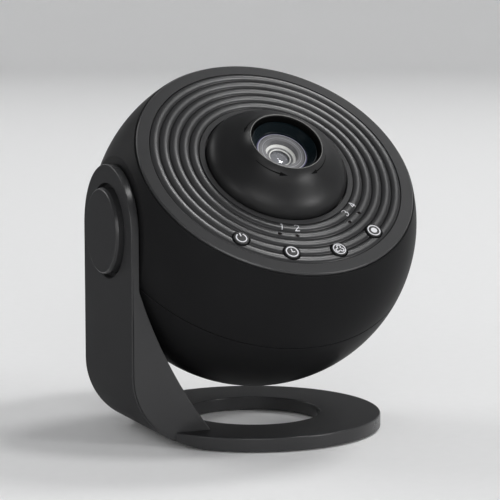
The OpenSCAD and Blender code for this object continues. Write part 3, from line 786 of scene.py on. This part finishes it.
def well_tubes():
    """The tubes inside the ball that the shell screws go up through. Points lower than a sphere
    just inside the ball's outside are lifted onto it, so each tube ends in the shell's wall."""
    parts = []
    for x, y in SCREW_WELLS:
        low = -math.sqrt((BALL_R - SHELL_WALL) ** 2 - x * x - y * y) - 4.0
        profile = rounded([(2.9, low, 0), (3.6, low, 0), (3.6, -SEAM, 0.3), (1.6, -SEAM, 0.1),
                           (1.6, -14, 0), (2.9, -14, 0), (2.9, low, 0)], 3)
        points, faces = spin(profile, 40)
        points = points + [x, y, 0]
        wall = -np.sqrt((BALL_R - 1.0) ** 2 - points[:, 0] ** 2 - points[:, 1] ** 2)
        points[:, 2] = np.maximum(points[:, 2], wall)
        parts.append((points, faces))
    return stand_in(piece("shell_screw_tubes", parts, head), "head", "shell_black")


# ------------------------------------------------------------------ the face
RIDGE_R0, RIDGE_W, RIDGE_RISE, RIDGES = 31.05, 3.97, 0.60, 5
LINE_DEPTH, LINE_W = 0.42, 0.20       # sharp line at the bottom of each groove
GROOVE_H = PLATE_H - 0.25
DOME_R = 28.3
BUTTON_R, BUTTON_PCD, BUTTON_STEP, BUTTON_TOP = 3.1, 46.2, 24.7, PLATE_H + 0.95
BUTTON_ANGLES = [270 + k * BUTTON_STEP for k in (-1.5, -0.5, 0.5, 1.5)]
PIPE_ANGLES = [252.2, 263.0, 302.0, 313.0]
PIPE_PCD, PIPE_R = 37.2, 0.68


def face_height(r):
    """Height of the face at distance r from the axis: flat bands, and between them ridges that
    are arcs of chord RIDGE_W and rise RIDGE_RISE above the grooves. A Gaussian dip of depth
    LINE_DEPTH and width LINE_W makes the sharp line between two ridges."""
    r = np.asarray(r, float)
    radius = (RIDGE_W ** 2 / 4 + RIDGE_RISE ** 2) / (2 * RIDGE_RISE)
    from_crown = (r - RIDGE_R0) % RIDGE_W - RIDGE_W / 2
    ridge = GROOVE_H + RIDGE_RISE - radius + np.sqrt(radius ** 2 - from_crown ** 2)
    from_groove = RIDGE_W / 2 - abs(from_crown)
    ridge = ridge - LINE_DEPTH * np.exp(-(from_groove / LINE_W) ** 2)
    ridged = (r > RIDGE_R0) & (r < RIDGE_R0 + RIDGES * RIDGE_W)
    return np.where(ridged, ridge, PLATE_H)


def face_plate():
    """Turned disc with the ridged face above, and holes with softened edges for the buttons and
    the indicator light pipes."""
    outer_flat = RIDGE_R0 + RIDGES * RIDGE_W
    r = np.linspace(RIDGE_R0, outer_flat, RIDGES * 40 + 1)[1:-1]
    ridges = np.stack([r, face_height(r)], 1)
    start = rounded([(DOME_R + 0.4, PLATE_UNDER, 0), (DOME_R + 0.4, PLATE_H, 0.35),
                     (RIDGE_R0 - 0.02, PLATE_H, 0.12), (RIDGE_R0, GROOVE_H - LINE_DEPTH, 0)], 5)
    finish = rounded([(outer_flat, GROOVE_H - LINE_DEPTH, 0), (outer_flat + 0.02, PLATE_H, 0.12),
                      (PLATE_R - 0.42, PLATE_H, 0.08), (PLATE_R, PLATE_H - 0.42, 0.10),
                      (PLATE_R, PLATE_UNDER, 0.1), (DOME_R + 0.4, PLATE_UNDER, 0)], 4)
    profile = dense(np.concatenate([start, ridges, finish]), 1.6)
    plate = piece("ridged_face_plate", [spin(profile, 320)], head, sharp=40)
    cutters = []
    for a in BUTTON_ANGLES:
        cutters.append(hole_cutter(BUTTON_PCD, a, BUTTON_R + 0.35, 0.30, 72))
    for a in PIPE_ANGLES:
        cutters.append(hole_cutter(PIPE_PCD, a, PIPE_R + 0.05, 0.12, 28))
    cut(plate, cutters, sharp=40)
    return stand_in(plate, "head", "face_charcoal", "face_plate")


def polar_place(r, angle):
    """Head place of coordinates centred at (r, angle) on the face, x pointing outwards."""
    a = math.radians(angle)
    turn = np.array([[math.cos(a), math.sin(a), 0], [-math.sin(a), math.cos(a), 0], [0, 0, 1]])
    return lambda points: head((np.asarray(points) + [r, 0, 0]) @ turn)


def hole_cutter(pcd, angle, r, flare, turns):
    """Cylinder of radius r that widens by flare at the face, as a small round on the edge."""
    level = float(face_height(pcd))
    round_edge = arc(r + flare, level - flare, flare, 180, 110, 6)
    profile = np.concatenate([[[0, PLATE_UNDER - 2], [r, PLATE_UNDER - 2]], round_edge,
                              [[r + flare + 0.3, level + 2], [0, level + 2]]])
    return disc_cutter(profile, polar_place(pcd, angle), turns)


# ------------------------------------------------------------------ printed marks
def stroke(points, width):
    """Flat ribbon of the given width about a line of (x, y) points, as a grid of 2 columns."""
    points = np.asarray(points, float)
    along = np.gradient(points, axis=0)
    along /= np.linalg.norm(along, axis=1)[:, None]
    normal = np.stack([-along[:, 1], along[:, 0]], 1) * width / 2
    return np.stack([points + normal, points - normal], 1)


def ring_stroke(r, width, a0=0, a1=360, cx=0.0, cy=0.0):
    return stroke(arc(cx, cy, r, a0, a1, max(int(abs(a1 - a0) / 6), 8)), width)


def dot(r, cx=0.0, cy=0.0):
    """Filled round dot, as a ribbon as wide as its own diameter that tapers to its ends."""
    x = np.cos(np.linspace(math.pi, 0, 25)) * r
    y = np.sqrt(np.maximum(r * r - x * x, 1e-6))
    return np.stack([np.stack([cx + x, cy + y], 1), np.stack([cx + x, cy - y], 1)], 1)


def inlay(flat, surface, lift=0.02, depth=0.06):
    """Thin raised print: a grid of flat (x, y) points laid on a surface height(x, y), proud of it
    by lift and sunk into it by depth."""
    x, y = flat[..., 0], flat[..., 1]
    top = np.stack([x, y, surface(x, y) + lift], -1)
    return slab(top, np.array([0, 0, -lift - depth]))


def icon_strokes(kind):
    """The four generic symbols: power, clock, turning mix and lamp, in a circle of radius 2.5."""
    if kind == "power":
        return [ring_stroke(2.0, 0.46, 122, 418), stroke([(0, 0.7), (0, 2.35)], 0.46)]
    if kind == "clock":
        return [ring_stroke(2.3, 0.46), stroke([(0, 1.45), (0, -0.1)], 0.40),
                stroke([(-0.2, -0.1), (1.15, -0.1)], 0.40)]
    if kind == "mix":
        blades = [ring_stroke(0.72, 0.42, a - 150, a + 130, 1.08 * math.cos(math.radians(a)),
                              1.08 * math.sin(math.radians(a))) for a in (90, 210, 330)]
        return [ring_stroke(2.4, 0.38)] + blades
    return [ring_stroke(2.4, 0.42), dot(1.25)]


def button(name, angle, kind):
    """Turned cap with a slightly domed top, and its printed symbol."""
    crown = 0.10
    edge = BUTTON_TOP - crown
    switch = 27.2
    radius = (BUTTON_R ** 2 + crown ** 2) / (2 * crown)
    r = np.linspace(0, BUTTON_R - 0.35, 14)
    top = np.stack([r, BUTTON_TOP - radius + np.sqrt(radius ** 2 - r * r)], 1)
    skirt = rounded([(BUTTON_R - 0.34, edge + 0.02, 0), (BUTTON_R, edge, 0.30),
                     (BUTTON_R, PLATE_UNDER - 0.3, 0), (4.4, PLATE_UNDER - 0.3, 0.1),
                     (4.4, PLATE_UNDER - 1.2, 0.1), (1.5, PLATE_UNDER - 1.2, 0),
                     (1.5, switch, 0.15), (0, switch, 0)], 5)
    place = polar_place(BUTTON_PCD, angle)
    cap = piece(name + "_cap", [spin(np.concatenate([top, skirt]), 96)], place)
    stand_in(cap, name, "button_grey", name + "_button")

    def crown_height(x, y):
        return BUTTON_TOP - radius + np.sqrt(radius ** 2 - x * x - y * y)

    # the symbol stands upright along the face's own up direction
    turn = math.radians(-angle)
    upright = np.array([[math.cos(turn), math.sin(turn)], [-math.sin(turn), math.cos(turn)]])
    parts = [inlay(flat @ upright, crown_height) for flat in icon_strokes(kind)]
    mark = piece(name + "_symbol", parts, place, weld=1e-4)
    return cap, stand_in(mark, name, "print_pale")


def number_strokes(digit):
    """Plain numerals in a box 1.8 wide and 3 high, centred at the origin."""
    if digit == 1:
        return [[(-0.5, 0.95), (0.15, 1.5), (0.15, -1.5)]]
    if digit == 2:
        bowl = arc(0, 0.7, 0.8, 170, -35, 16)
        return [np.concatenate([bowl, [[-0.85, -1.4]]]), [(-0.95, -1.4), (0.95, -1.4)]]
    if digit == 3:
        return [arc(0, 0.75, 0.72, 160, -85, 16), arc(0, -0.72, 0.80, 90, -160, 16)]
    return [[(0.95, -0.6), (-0.95, -0.6), (0.35, 1.5), (0.35, -1.5)]]


def face_numbers():
    """Numerals 1 to 4 printed on the first ridge beside the indicator lights, reading from the
    ball's front: each point of a stroke is laid on the ridge at its own distance from the axis."""
    parts = []
    for digit, angle in zip((1, 2, 3, 4), (253.7, 264.3, 306.3, 316.6)):
        for line in number_strokes(digit):
            flat = stroke(dense(line, 0.25), 0.30)
            a = math.radians(angle)
            out = np.array([math.cos(a), math.sin(a)])
            right = np.array([-out[1], out[0]])
            where = 33.05 * out + flat[..., :1] * right - flat[..., 1:] * out
            parts.append(inlay(where, lambda x, y: face_height(np.hypot(x, y)), 0.015))
    return stand_in(piece("light_numbers", parts, head, weld=1e-4), "head", "print_pale")


def light_pipes():
    """Four thin clear rods whose domed ends show as dots between the ridges."""
    parts = []
    for a in PIPE_ANGLES:
        level = float(face_height(PIPE_PCD)) - 0.40
        profile = np.concatenate([[[0, 23.0], [PIPE_R, 23.0], [PIPE_R, level - 0.12]],
                                  arc(PIPE_R - 0.12, level - 0.12, 0.12, 0, 80, 4),
                                  [[0, level + 0.03]]])
        points, faces = spin(profile, 24)
        c, s = math.cos(math.radians(a)), math.sin(math.radians(a))
        parts.append((points + [PIPE_PCD * c, PIPE_PCD * s, 0], faces))
    return stand_in(piece("indicator_pipes", parts, head), "head", "pipe_red", "light_pipes")


# ------------------------------------------------------------------ the focus ring
MOUTH_R, DOME_TOP = 14.6, PLATE_H + 13.3
CURVE = np.array([[DOME_R, PLATE_H + 0.1], [DOME_R - 1.1, PLATE_H + 0.54 * 13.3],
                  [MOUTH_R + 3, PLATE_H + 0.57 * 13.3], [MOUTH_R, DOME_TOP]])


def dome_curve(t):
    """Bezier curve of four control points: the bell-shaped outside of the focus ring."""
    t = np.asarray(t, float)[..., None]
    return ((1 - t) ** 3 * CURVE[0] + 3 * (1 - t) ** 2 * t * CURVE[1]
            + 3 * (1 - t) * t ** 2 * CURVE[2] + t ** 3 * CURVE[3])


def focus_ring():
    """Bell from the face up to the thin rim of the light opening, with its inner cone, its hollow underside and
    the flange that turns under the face plate. The rim's bright line is a painted highlight on the separate
    pale bead of mouth_rim."""
    outside = dome_curve(np.linspace(0, 0.985, 90))
    rim = rounded([(*outside[-1], 0), (MOUTH_R - 0.02, DOME_TOP, 0.10), (MOUTH_R - 0.30, DOME_TOP, 0.10),
                   (13.5, DOME_TOP - 2.4, 0.25), (13.5, DOME_TOP - 9, 0), (15.4, DOME_TOP - 9, 0),
                   (15.4, DOME_TOP - 5, 0)], 5)
    hollow = dome_curve(np.linspace(0.78, 0.06, 30)) - [1.68, 2.1]
    under = rounded([(26.2, PLATE_H - 1, 0), (26.2, 28.9, 0), (30.6, 28.9, 0.1), (30.6, 30.1, 0.1),
                     (DOME_R - 0.3, 30.1, 0), (DOME_R - 0.3, PLATE_H - 0.9, 0),
                     (DOME_R, PLATE_H - 0.5, 0.15), (*outside[0], 0)], 4)
    profile = np.concatenate([outside, dense(rim, 0.8), hollow, under])
    ring = piece("focus_bell", [spin(profile, 288)], head, sharp=38)
    return stand_in(ring, "focus", "dome_black", "focus_ring")


def dome_point(t, angle, lift):
    """Point of the bell at curve parameter t and angle in degrees, moved out along the normal."""
    p = dome_curve(t)
    ahead = dome_curve(np.asarray(t) + 1e-4) - dome_curve(np.asarray(t) - 1e-4)
    normal = np.stack([ahead[..., 1], -ahead[..., 0]], -1)
    normal /= np.linalg.norm(normal, axis=-1)[..., None]
    p = p + normal * np.asarray(lift)[..., None]
    a = np.radians(angle)
    return np.stack([p[..., 0] * np.cos(a), p[..., 0] * np.sin(a), p[..., 1]], -1)


def turn_arrows():
    """Four faint curved arrows printed on the bell's neck: bands of constant curve parameter
    that end in a tapering head."""
    middle, half, head_half, head_span = 0.845, 0.014, 0.042, 11.0
    parts = []
    for tail, tip in ((206, 254.5), (339, 289.6), (109, 152), (71, 28)):
        way = math.copysign(1, tip - tail)
        neck = tip - way * head_span
        u = np.concatenate([np.linspace(tail, neck, 26), np.linspace(neck, tip, 12)])
        width = np.concatenate([half * np.linspace(0.35, 1, 26),
                                head_half * np.linspace(1, 0.02, 12)])
        v = np.linspace(-1, 1, 5)
        t = middle + width[:, None] * v
        angle = np.broadcast_to(u[:, None], t.shape)
        top = dome_point(t, angle, np.full(t.shape, 0.02))
        below = dome_point(t, angle, np.full(t.shape, -0.05))
        points, faces = slab(top, np.zeros(3))
        points[t.size:] = below.reshape(-1, 3)
        parts.append((points, faces))
    arrows = piece("turn_arrows", parts, head, weld=1e-4)
    return stand_in(arrows, "focus", "inner_black", finish="print_black")


# ------------------------------------------------------------------ the lens
def lens_barrel():
    """Gloss tube with a stepped cone above the lens: eight fine baffle lines."""
    cone = [[12.75, 43.7]]
    for k in range(8):
        r, h = 12.70 - 0.26 * k, 43.55 - 0.385 * k
        cone += [[r, h], [r, h - 0.20], [r - 0.18, h - 0.26]]
    profile = np.concatenate([
        rounded([(11, 17, 0), (13.15, 17, 0.2), (13.15, 43.7, 0.15), (12.75, 43.7, 0)], 4), cone[1:],
        [[10.5, 40.4], [10.15, 40.4], [10.15, 36.4], [9.2, 36.4], [9.2, 28], [8, 28], [8, 27],
         [9.5, 27], [9.5, 22.75], [11, 22.42], [11, 17]]])
    barrel = piece("lens_barrel_tube", [spin(profile, 192)], head, sharp=28)
    return stand_in(barrel, "lens", "barrel_gloss", "lens_barrel")


def lens_cell():
    """Clear flange with a rounded shoulder and a fine step, a conical well, and its hub."""
    profile = rounded([(4.0, 34.6, 0), (5.2, 34.6, 0.1), (5.2, 36.4, 0.1), (10.1, 36.4, 0.1),
                       (10.1, 39.95, 0.25), (9.5, 40.2, 0.2), (9.1, 40.2, 0.1), (9.0, 40.08, 0.1),
                       (6.6, 40.08, 0.1), (6.0, 37.3, 0.2), (4.0, 37.2, 0.1), (4.0, 34.6, 0)], 5)
    cell = piece("lens_flange", [spin(profile, 160)], head, sharp=40)
    return stand_in(cell, "lens", "lens_clear", "lens_cell")


def lens_collar():
    """Two pale rings at the foot of the well: a rounded shoulder against its wall, and a fine bead round the
    lens. Their white is a painted highlight, for the bright rings of reflected light round the lens."""
    shoulder = rounded([(5.25, 37.1, 0), (6.2, 37.1, 0), (6.2, 38.2, 0.05), (5.75, 38.15, 0.25),
                        (5.25, 37.65, 0.15), (5.25, 37.1, 0)], 5)
    bead = rounded([(3.98, 37.0, 0), (4.46, 37.0, 0), (4.46, 37.34, 0.08), (4.2, 37.46, 0.08),
                    (3.98, 37.34, 0.08), (3.98, 37.0, 0)], 4)
    rings = piece("well_collar", [spin(shoulder, 144), spin(bead, 144)], head, sharp=45)
    # painted highlight: the white lamp finish on these rings stands in for reflected light
    return stand_in(rings, "lens", "lamp_white")


def mouth_rim():
    """Fine pale bead along the rim of the light opening: its pale colour is a painted highlight, the bright
    line that the rim's edge catches.
    """
    bead = arc(MOUTH_R - 0.20, DOME_TOP - 0.12, 0.19, 0, 360, 16)
    rim = piece("mouth_rim", [spin(bead, 224)], head, sharp=60)
    # painted highlight: the pale finish rim_pale stands in for the light the rim's edge catches
    return stand_in(rim, "focus", "print_pale", finish="rim_pale")


def painted_mouth_shade():
    """Dead black sheet over the mouth's inner cone, a tenth of a millimetre thick, from just under the rim down
    to the gloss tube: painted shade, put where the mouth lies in shade."""
    wall = [(MOUTH_R - 0.62, DOME_TOP - 0.75), (13.44, DOME_TOP - 2.55), (13.44, DOME_TOP - 6.0)]
    outer = [(r + 0.10, h) for r, h in wall]
    profile = np.array([*wall, *outer[::-1], wall[0]])
    dark_cone = piece("painted_mouth_shade", [spin(profile, 224)], head, sharp=30)
    # painted shade: this dead black sheet stands in for the shade inside the mouth
    return stand_in(dark_cone, "focus", "inner_black", finish="print_black")


def front_lens():
    """Small lens between two spherical faces."""
    def cap(edge_h, rise, sign, steps=16):
        radius = (16 + rise * rise) / (2 * rise)
        r = np.linspace(0, 4.0, steps)
        return np.stack([r, edge_h + sign * (rise - radius + np.sqrt(radius ** 2 - r * r))], 1)
    profile = np.concatenate([cap(35.2, 0.5, -1), cap(36.2, 0.7, 1)[::-1]])
    lens = piece("front_glass", [spin(profile, 96)], head)
    return stand_in(lens, "lens", "lens_glass", "front_lens")


# ------------------------------------------------------------------ the stand
ARM_X, ARM_T, ARM_HALF = 62.3, 3.3, 25.7
ARM_IN = ARM_X - ARM_T
BEND_R, FOOT_H, BASE_TOP, BASE_R, HOLE_R = 28.0, 0.6, 6.0, 51.3, 27.0
HEEL_X, TOE_X = -38.3, -29.9
GUSSET_R, GUSSET_TOP = 180.0, PIVOT[2] - 20.6
BOSS_R, JOURNAL_R, RECESS_R, RECESS_X = 20.8, 10.0, 18.4, 60.0
EDGE = 0.40                # rounding of the arm's long edges


def bar(outline, start, stop, axes=(0, 2, 1)):
    """Closed bar: an outline (u, v) carried straight from start to stop. axes says which world
    axes u, v and the path lie along."""
    outline = np.asarray(outline, float)
    n = len(outline)
    points = np.zeros((2, n, 3))
    points[..., axes[0]] = outline[:, 0]
    points[..., axes[1]] = outline[:, 1]
    points[0, :, axes[2]] = start
    points[1, :, axes[2]] = stop
    i = np.arange(n)
    walls = np.stack([i, (i + 1) % n, (i + 1) % n + n, i + n], 1)
    ends = np.stack([i[::-1], i + n])
    return points.reshape(-1, 3), [walls, ends]


def gusset(z0, z1, steps):
    """Arc of radius GUSSET_R through the arm's inner face at GUSSET_TOP and the toe on the base,
    its centre on the ball's side, from height z0 to z1."""
    p0, p1 = np.array([-ARM_IN, GUSSET_TOP]), np.array([TOE_X, BASE_TOP])
    chord = p1 - p0
    span = np.linalg.norm(chord)
    away = np.array([-chord[1], chord[0]]) / span
    cx, cz = (p0 + p1) / 2 + away * math.sqrt(GUSSET_R ** 2 - span ** 2 / 4)
    z = np.linspace(z0, z1, steps + 1)
    return np.stack([cx - np.sqrt(GUSSET_R ** 2 - (z - cz) ** 2), z], 1)


def big_bend(steps):
    """The bend's arc of radius BEND_R, from under the ring to the outer wall."""
    foot = math.degrees(math.acos((HEEL_X + ARM_X - BEND_R) / BEND_R))
    return arc(BEND_R - ARM_X, FOOT_H + BEND_R, BEND_R, 360 - foot, 180, steps)


def ball_room():
    """The space the ball turns in, up to the plane of the arm's inner face."""
    a = np.radians(np.linspace(70, math.degrees(math.acos(ARM_IN / (BALL_R + 0.6))), 60))
    dome = (BALL_R + 0.6) * np.stack([np.sin(a), np.cos(a)], 1)
    return disc_cutter(np.concatenate([[[0, dome[0, 1]]], dome, [[0, ARM_IN]]]), side, 360)


def arm_edge(middle):
    """Whether a point lies on an edge of the arm that a hand can feel: the rim, or the recess."""
    x, y, z = middle
    rim = abs(abs(y) - ARM_HALF) if z < PIVOT[2] else abs(math.hypot(y, z - PIVOT[2]) - ARM_HALF)
    recess = abs(math.hypot(y, z - PIVOT[2]) - RECESS_R) < 0.05 and x < 0.3 - ARM_X
    underfoot = z < BASE_TOP + 0.05 and x > HEEL_X - 0.5
    return (rim < 0.02 and not underfoot) or recess


def stand_arm():
    """The arm: its outline from the front carried across, cut to the round top, hollowed for the
    ball, with the pivot's boss, recess and bore, the cover's seat and rounded long edges."""
    outline = np.concatenate([
        big_bend(72), [[-ARM_X, PIVOT[2] + 30], [-ARM_IN, PIVOT[2] + 30]],
        gusset(GUSSET_TOP, BASE_TOP, 72), [[HEEL_X, BASE_TOP]]])
    arm = piece("arm_body", [bar(outline, -30, 30)], world)
    stadium = np.concatenate([arc(0, PIVOT[2], ARM_HALF, 0, 180, 120), [[-ARM_HALF, -5], [ARM_HALF, -5]]])
    boss = [[0, POCKET_X + 0.3], [BOSS_R - 0.3, POCKET_X + 0.3], [BOSS_R, POCKET_X + 0.6],
            [BOSS_R, ARM_IN + 0.6], [0, ARM_IN + 0.6]]
    recess = [[0, RECESS_X], [RECESS_R - 0.3, RECESS_X], [RECESS_R, RECESS_X + 0.3], [RECESS_R, 66], [0, 66]]
    bore = [[0, 50], [JOURNAL_R + 0.06, 50], [JOURNAL_R + 0.06, 61], [0, 61]]
    carve(arm, [
        ("INTERSECT", piece("cutter", [bar(stadium, -70, -20, (1, 2, 0))], world)),
        ("DIFFERENCE", ball_room()),
        ("UNION", disc_cutter(boss, side)),
        ("DIFFERENCE", disc_cutter(recess, side, 160)),
        ("DIFFERENCE", disc_cutter(bore, side, 96)),
        ("DIFFERENCE", piece("cutter", [cover_bar(10.0, 38.0, 22.9, 2.1, 3.0)], world)),
    ])
    round_edges(arm, EDGE, arm_edge)
    carve(arm, [("DIFFERENCE", edge_groove())])
    return stand_in(arm, "stand", "stand_grey", "stand_arm")


def cover_bar(z0, z1, half, depth, proud):
    """Strip along the arm's curved inner edge between two heights: depth deep, and proud of it."""
    curve = gusset(z0, z1, 40)
    return bar(np.concatenate([curve - [depth, 0], curve[::-1] + [proud, 0]]), -half, half)


def arm_cover():
    """Flush lid on the arm's curved inner edge, with softened edges."""
    lid = piece("arm_lid", [cover_bar(10.15, 37.85, 22.75, 2.0, 0.0)], world)
    carve(lid, [("DIFFERENCE", ball_room())])
    round_edges(lid, 0.18, lambda middle: True, 2)
    return stand_in(lid, "stand", "stand_grey", "arm_cover")


def edge_groove():
    """Fine joint line in the front and rear faces, just under the outer corner, from mid height
    down round the bend: a small square section carried along the bend, closed at both ends."""
    path = np.concatenate([big_bend(72)[12:], [[-ARM_X, 50.0], [-ARM_X, 76.0]]])
    centre = np.array([BEND_R - ARM_X, FOOT_H + BEND_R])
    out = np.where(path[:, 1:] > centre[1], [[-1.0, 0.0]], (path - centre) / BEND_R)
    deep = np.minimum(np.linspace(0.02, 3, len(path)), 1) * 0.30
    deep[-1] = 0.01
    n = len(path)
    parts = []
    for edge in (-1, 1):
        loop = []
        for under, proud in ((0.46, False), (0.46, True), (0.84, True), (0.84, False)):
            place = path - out * under
            across = edge * (ARM_HALF + (0.3 if proud else -deep)) * np.ones(n)
            loop.append(np.stack([place[:, 0], across, place[:, 1]], 1))
        tube_points, tube_faces = grid(np.stack(loop, 1), wrap=True)
        ends = np.array([[3, 2, 1, 0], [4 * n - 4, 4 * n - 3, 4 * n - 2, 4 * n - 1]])
        parts.append((tube_points, [tube_faces, ends]))
    return piece("cutter", parts, world, weld=1e-4)


def pivot_cap():
    """Turned cap over the pivot: a drum with a broad rounded edge and a flat face."""
    profile = rounded([(0, 60.5, 0), (16.8, 60.5, 0.1), (16.8, BALL_R - 1.25, 0.5), (16.25, BALL_R, 0.75),
                       (0, BALL_R, 0)], 8)
    cap = piece("pivot_cover", [spin(dense(profile, 2.0), 160)], side, sharp=40)
    return stand_in(cap, "head", "stand_grey", "pivot_cap")


def base_ring():
    """Turned ring with softened edges, hollow underneath. The arm's foot fills a notch, and the
    arm's big bend goes on along the ring's underside."""
    profile = rounded([(HOLE_R + 1, FOOT_H, 0), (HOLE_R, FOOT_H, 0.15), (HOLE_R, BASE_TOP, 0.40),
                       (BASE_R, BASE_TOP, 0.70), (BASE_R, FOOT_H, 0.25), (BASE_R - 2, FOOT_H, 0),
                       (BASE_R - 2, BASE_TOP - 1.8, 0), (HOLE_R + 2, BASE_TOP - 1.8, 0),
                       (HOLE_R + 2, FOOT_H, 0), (HOLE_R + 1, FOOT_H, 0)], 6)
    ring = piece("base_ring_body", [spin(profile, 288)], world, sharp=40)
    gap = 0.06
    notch = [[-ARM_X - 9, -2], [HEEL_X + gap, -2], [HEEL_X + gap, 9], [-ARM_X - 9, 9]]
    below = np.concatenate([arc(BEND_R - ARM_X, FOOT_H + BEND_R, BEND_R, 270, 180, 60),
                            [[-ARM_X - 9, FOOT_H + BEND_R], [-ARM_X - 9, -3], [BEND_R - ARM_X, -3]]])
    cut(ring, [
        piece("cutter", [bar(notch, -ARM_HALF - gap, ARM_HALF + gap)], world),
        piece("cutter", [bar(below, -60, 60)], world),
    ], sharp=40)
    return stand_in(ring, "stand", "stand_grey", "base_ring")


def power_socket():
    """Round inlet with a softened flange and a deep bore."""
    profile = rounded([(0, SOCKET_SEAT - 10.3, 0), (1.8, SOCKET_SEAT - 10.3, 0), (1.8, SOCKET_SEAT + 0.7, 0.15),
                       (5.6, SOCKET_SEAT + 0.7, 0.25), (5.6, SOCKET_SEAT, 0.05), (3.9, SOCKET_SEAT, 0),
                       (3.9, SOCKET_SEAT - 12.7, 0.2), (0, SOCKET_SEAT - 12.7, 0)], 5)
    socket = piece("power_inlet_body", [spin(profile, 96)], socket_place, sharp=40)
    return stand_in(socket, "head", "inner_black", "power_socket")


# ------------------------------------------------------------------ making it
def dress_frame():
    """Every CAD node that stays in sight or inside gets the finish of its record slot."""
    slots = {s["node"]: s["material_slot"] for s in frame["record"]["subparts"]}
    for name, obj in frame["nodes"].items():
        obj.data.materials.clear()
        obj.data.materials.append(FINISHES[slots[name]])


def make_object():
    dress_frame()
    upper_shell()
    lower_shell()
    well_tubes()
    face_plate()
    for name, angle, kind in zip(("power", "timer", "motion", "light"), BUTTON_ANGLES,
                                 ("power", "clock", "mix", "lamp")):
        button(name, angle, kind)
    face_numbers()
    light_pipes()
    focus_ring()
    turn_arrows()
    lens_barrel()
    lens_cell()
    lens_collar()
    mouth_rim()
    # dead black sheet of painted shade inside the mouth
    painted_mouth_shade()
    front_lens()
    stand_arm()
    arm_cover()
    pivot_cap()
    base_ring()
    power_socket()


# ------------------------------------------------------------------ the studio
def studio_paper():
    """Pale paper with a very faint tooth."""
    shader = Shader("studio_paper")
    tooth = shader.noise(5, 3.0)
    tone = shader.blend(tooth, (0.86, 0.86, 0.86), (0.89, 0.89, 0.89))
    return shader.set(Base_Color=tone, Roughness=0.9, Specular_IOR_Level=0.2)


def floor():
    """Pale round sheet that curves up all round: flat, quarter circle, low wall."""
    turn = arc(3.2, 1.6, 1.6, 270, 360, 32)
    profile = np.concatenate([[[0.0, 0.0], [0.5, 0.0], [1.5, 0.0]], turn, [[4.8, 2.8]]]) / MM
    sheet = piece("studio_floor", [spin(profile, 96)], world, outward=False, sharp=60)
    sheet.data.materials.append(studio_paper())


def softbox(name, direction, distance, size, power):
    """Rectangular lamp that looks at the middle of the object from a direction."""
    light = bpy.data.lights.new(name, "AREA")
    light.shape = "RECTANGLE"
    light.size, light.size_y = size
    light.energy = power
    obj = bpy.data.objects.new(name, light)
    obj.visible_camera = False
    bpy.context.scene.collection.objects.link(obj)
    away = Vector(direction).normalized()
    obj.location = Vector((0.0, 0.0, 0.08)) + away * distance
    obj.rotation_euler = away.to_track_quat("Z", "Y").to_euler()
    return obj


def studio():
    floor()
    softbox("front", (-0.35, -0.90, 0.28), 3.6, (2.0, 2.0), 34.0)
    softbox("left", (-0.85, -0.40, 0.15), 3.4, (0.6, 0.6), 8.0)
    softbox("front_right", (0.62, -0.76, 0.22), 3.4, (0.9, 0.9), 40.0)
    softbox("back_right", (0.54, 0.25, 0.80), 3.6, (0.9, 0.9), 36.0)
    softbox("high_right", (0.41, -0.25, 0.875), 3.4, (0.6, 0.6), 26.0)
    softbox("back_left", (-0.55, 0.70, 0.50), 3.6, (1.8, 1.8), 30.0)
    air = bpy.data.worlds.new("studio_air")
    air.use_nodes = True
    background = air.node_tree.nodes["Background"]
    background.inputs["Color"].default_value = (0.95, 0.97, 1.0, 1)
    background.inputs["Strength"].default_value = 0.15
    bpy.context.scene.world = air
    bpy.context.scene.view_settings.view_transform = "Standard"


def camera():
    """The photograph's view: from the front left, a little above, with a long lens."""
    lens = bpy.data.cameras.new("view")
    lens.lens, lens.sensor_width, lens.sensor_height = 149.0, 36.0, 36.0
    lens.sensor_fit = "HORIZONTAL"
    lens.clip_start, lens.clip_end = 0.01, 20.0
    back = Vector((-0.4132, -0.9013, 0.1304)).normalized()
    right = Vector((0.9090, -0.4167, 0.0)).normalized()
    up = back.cross(right)
    turn = Matrix((right, up, back)).transposed()
    obj = bpy.data.objects.new("view", lens)
    bpy.context.scene.collection.objects.link(obj)
    obj.matrix_world = Matrix.Translation((-0.3430, -0.7451, 0.1791)) @ turn.to_4x4()
    bpy.context.scene.camera = obj


make_object()
studio()
camera()
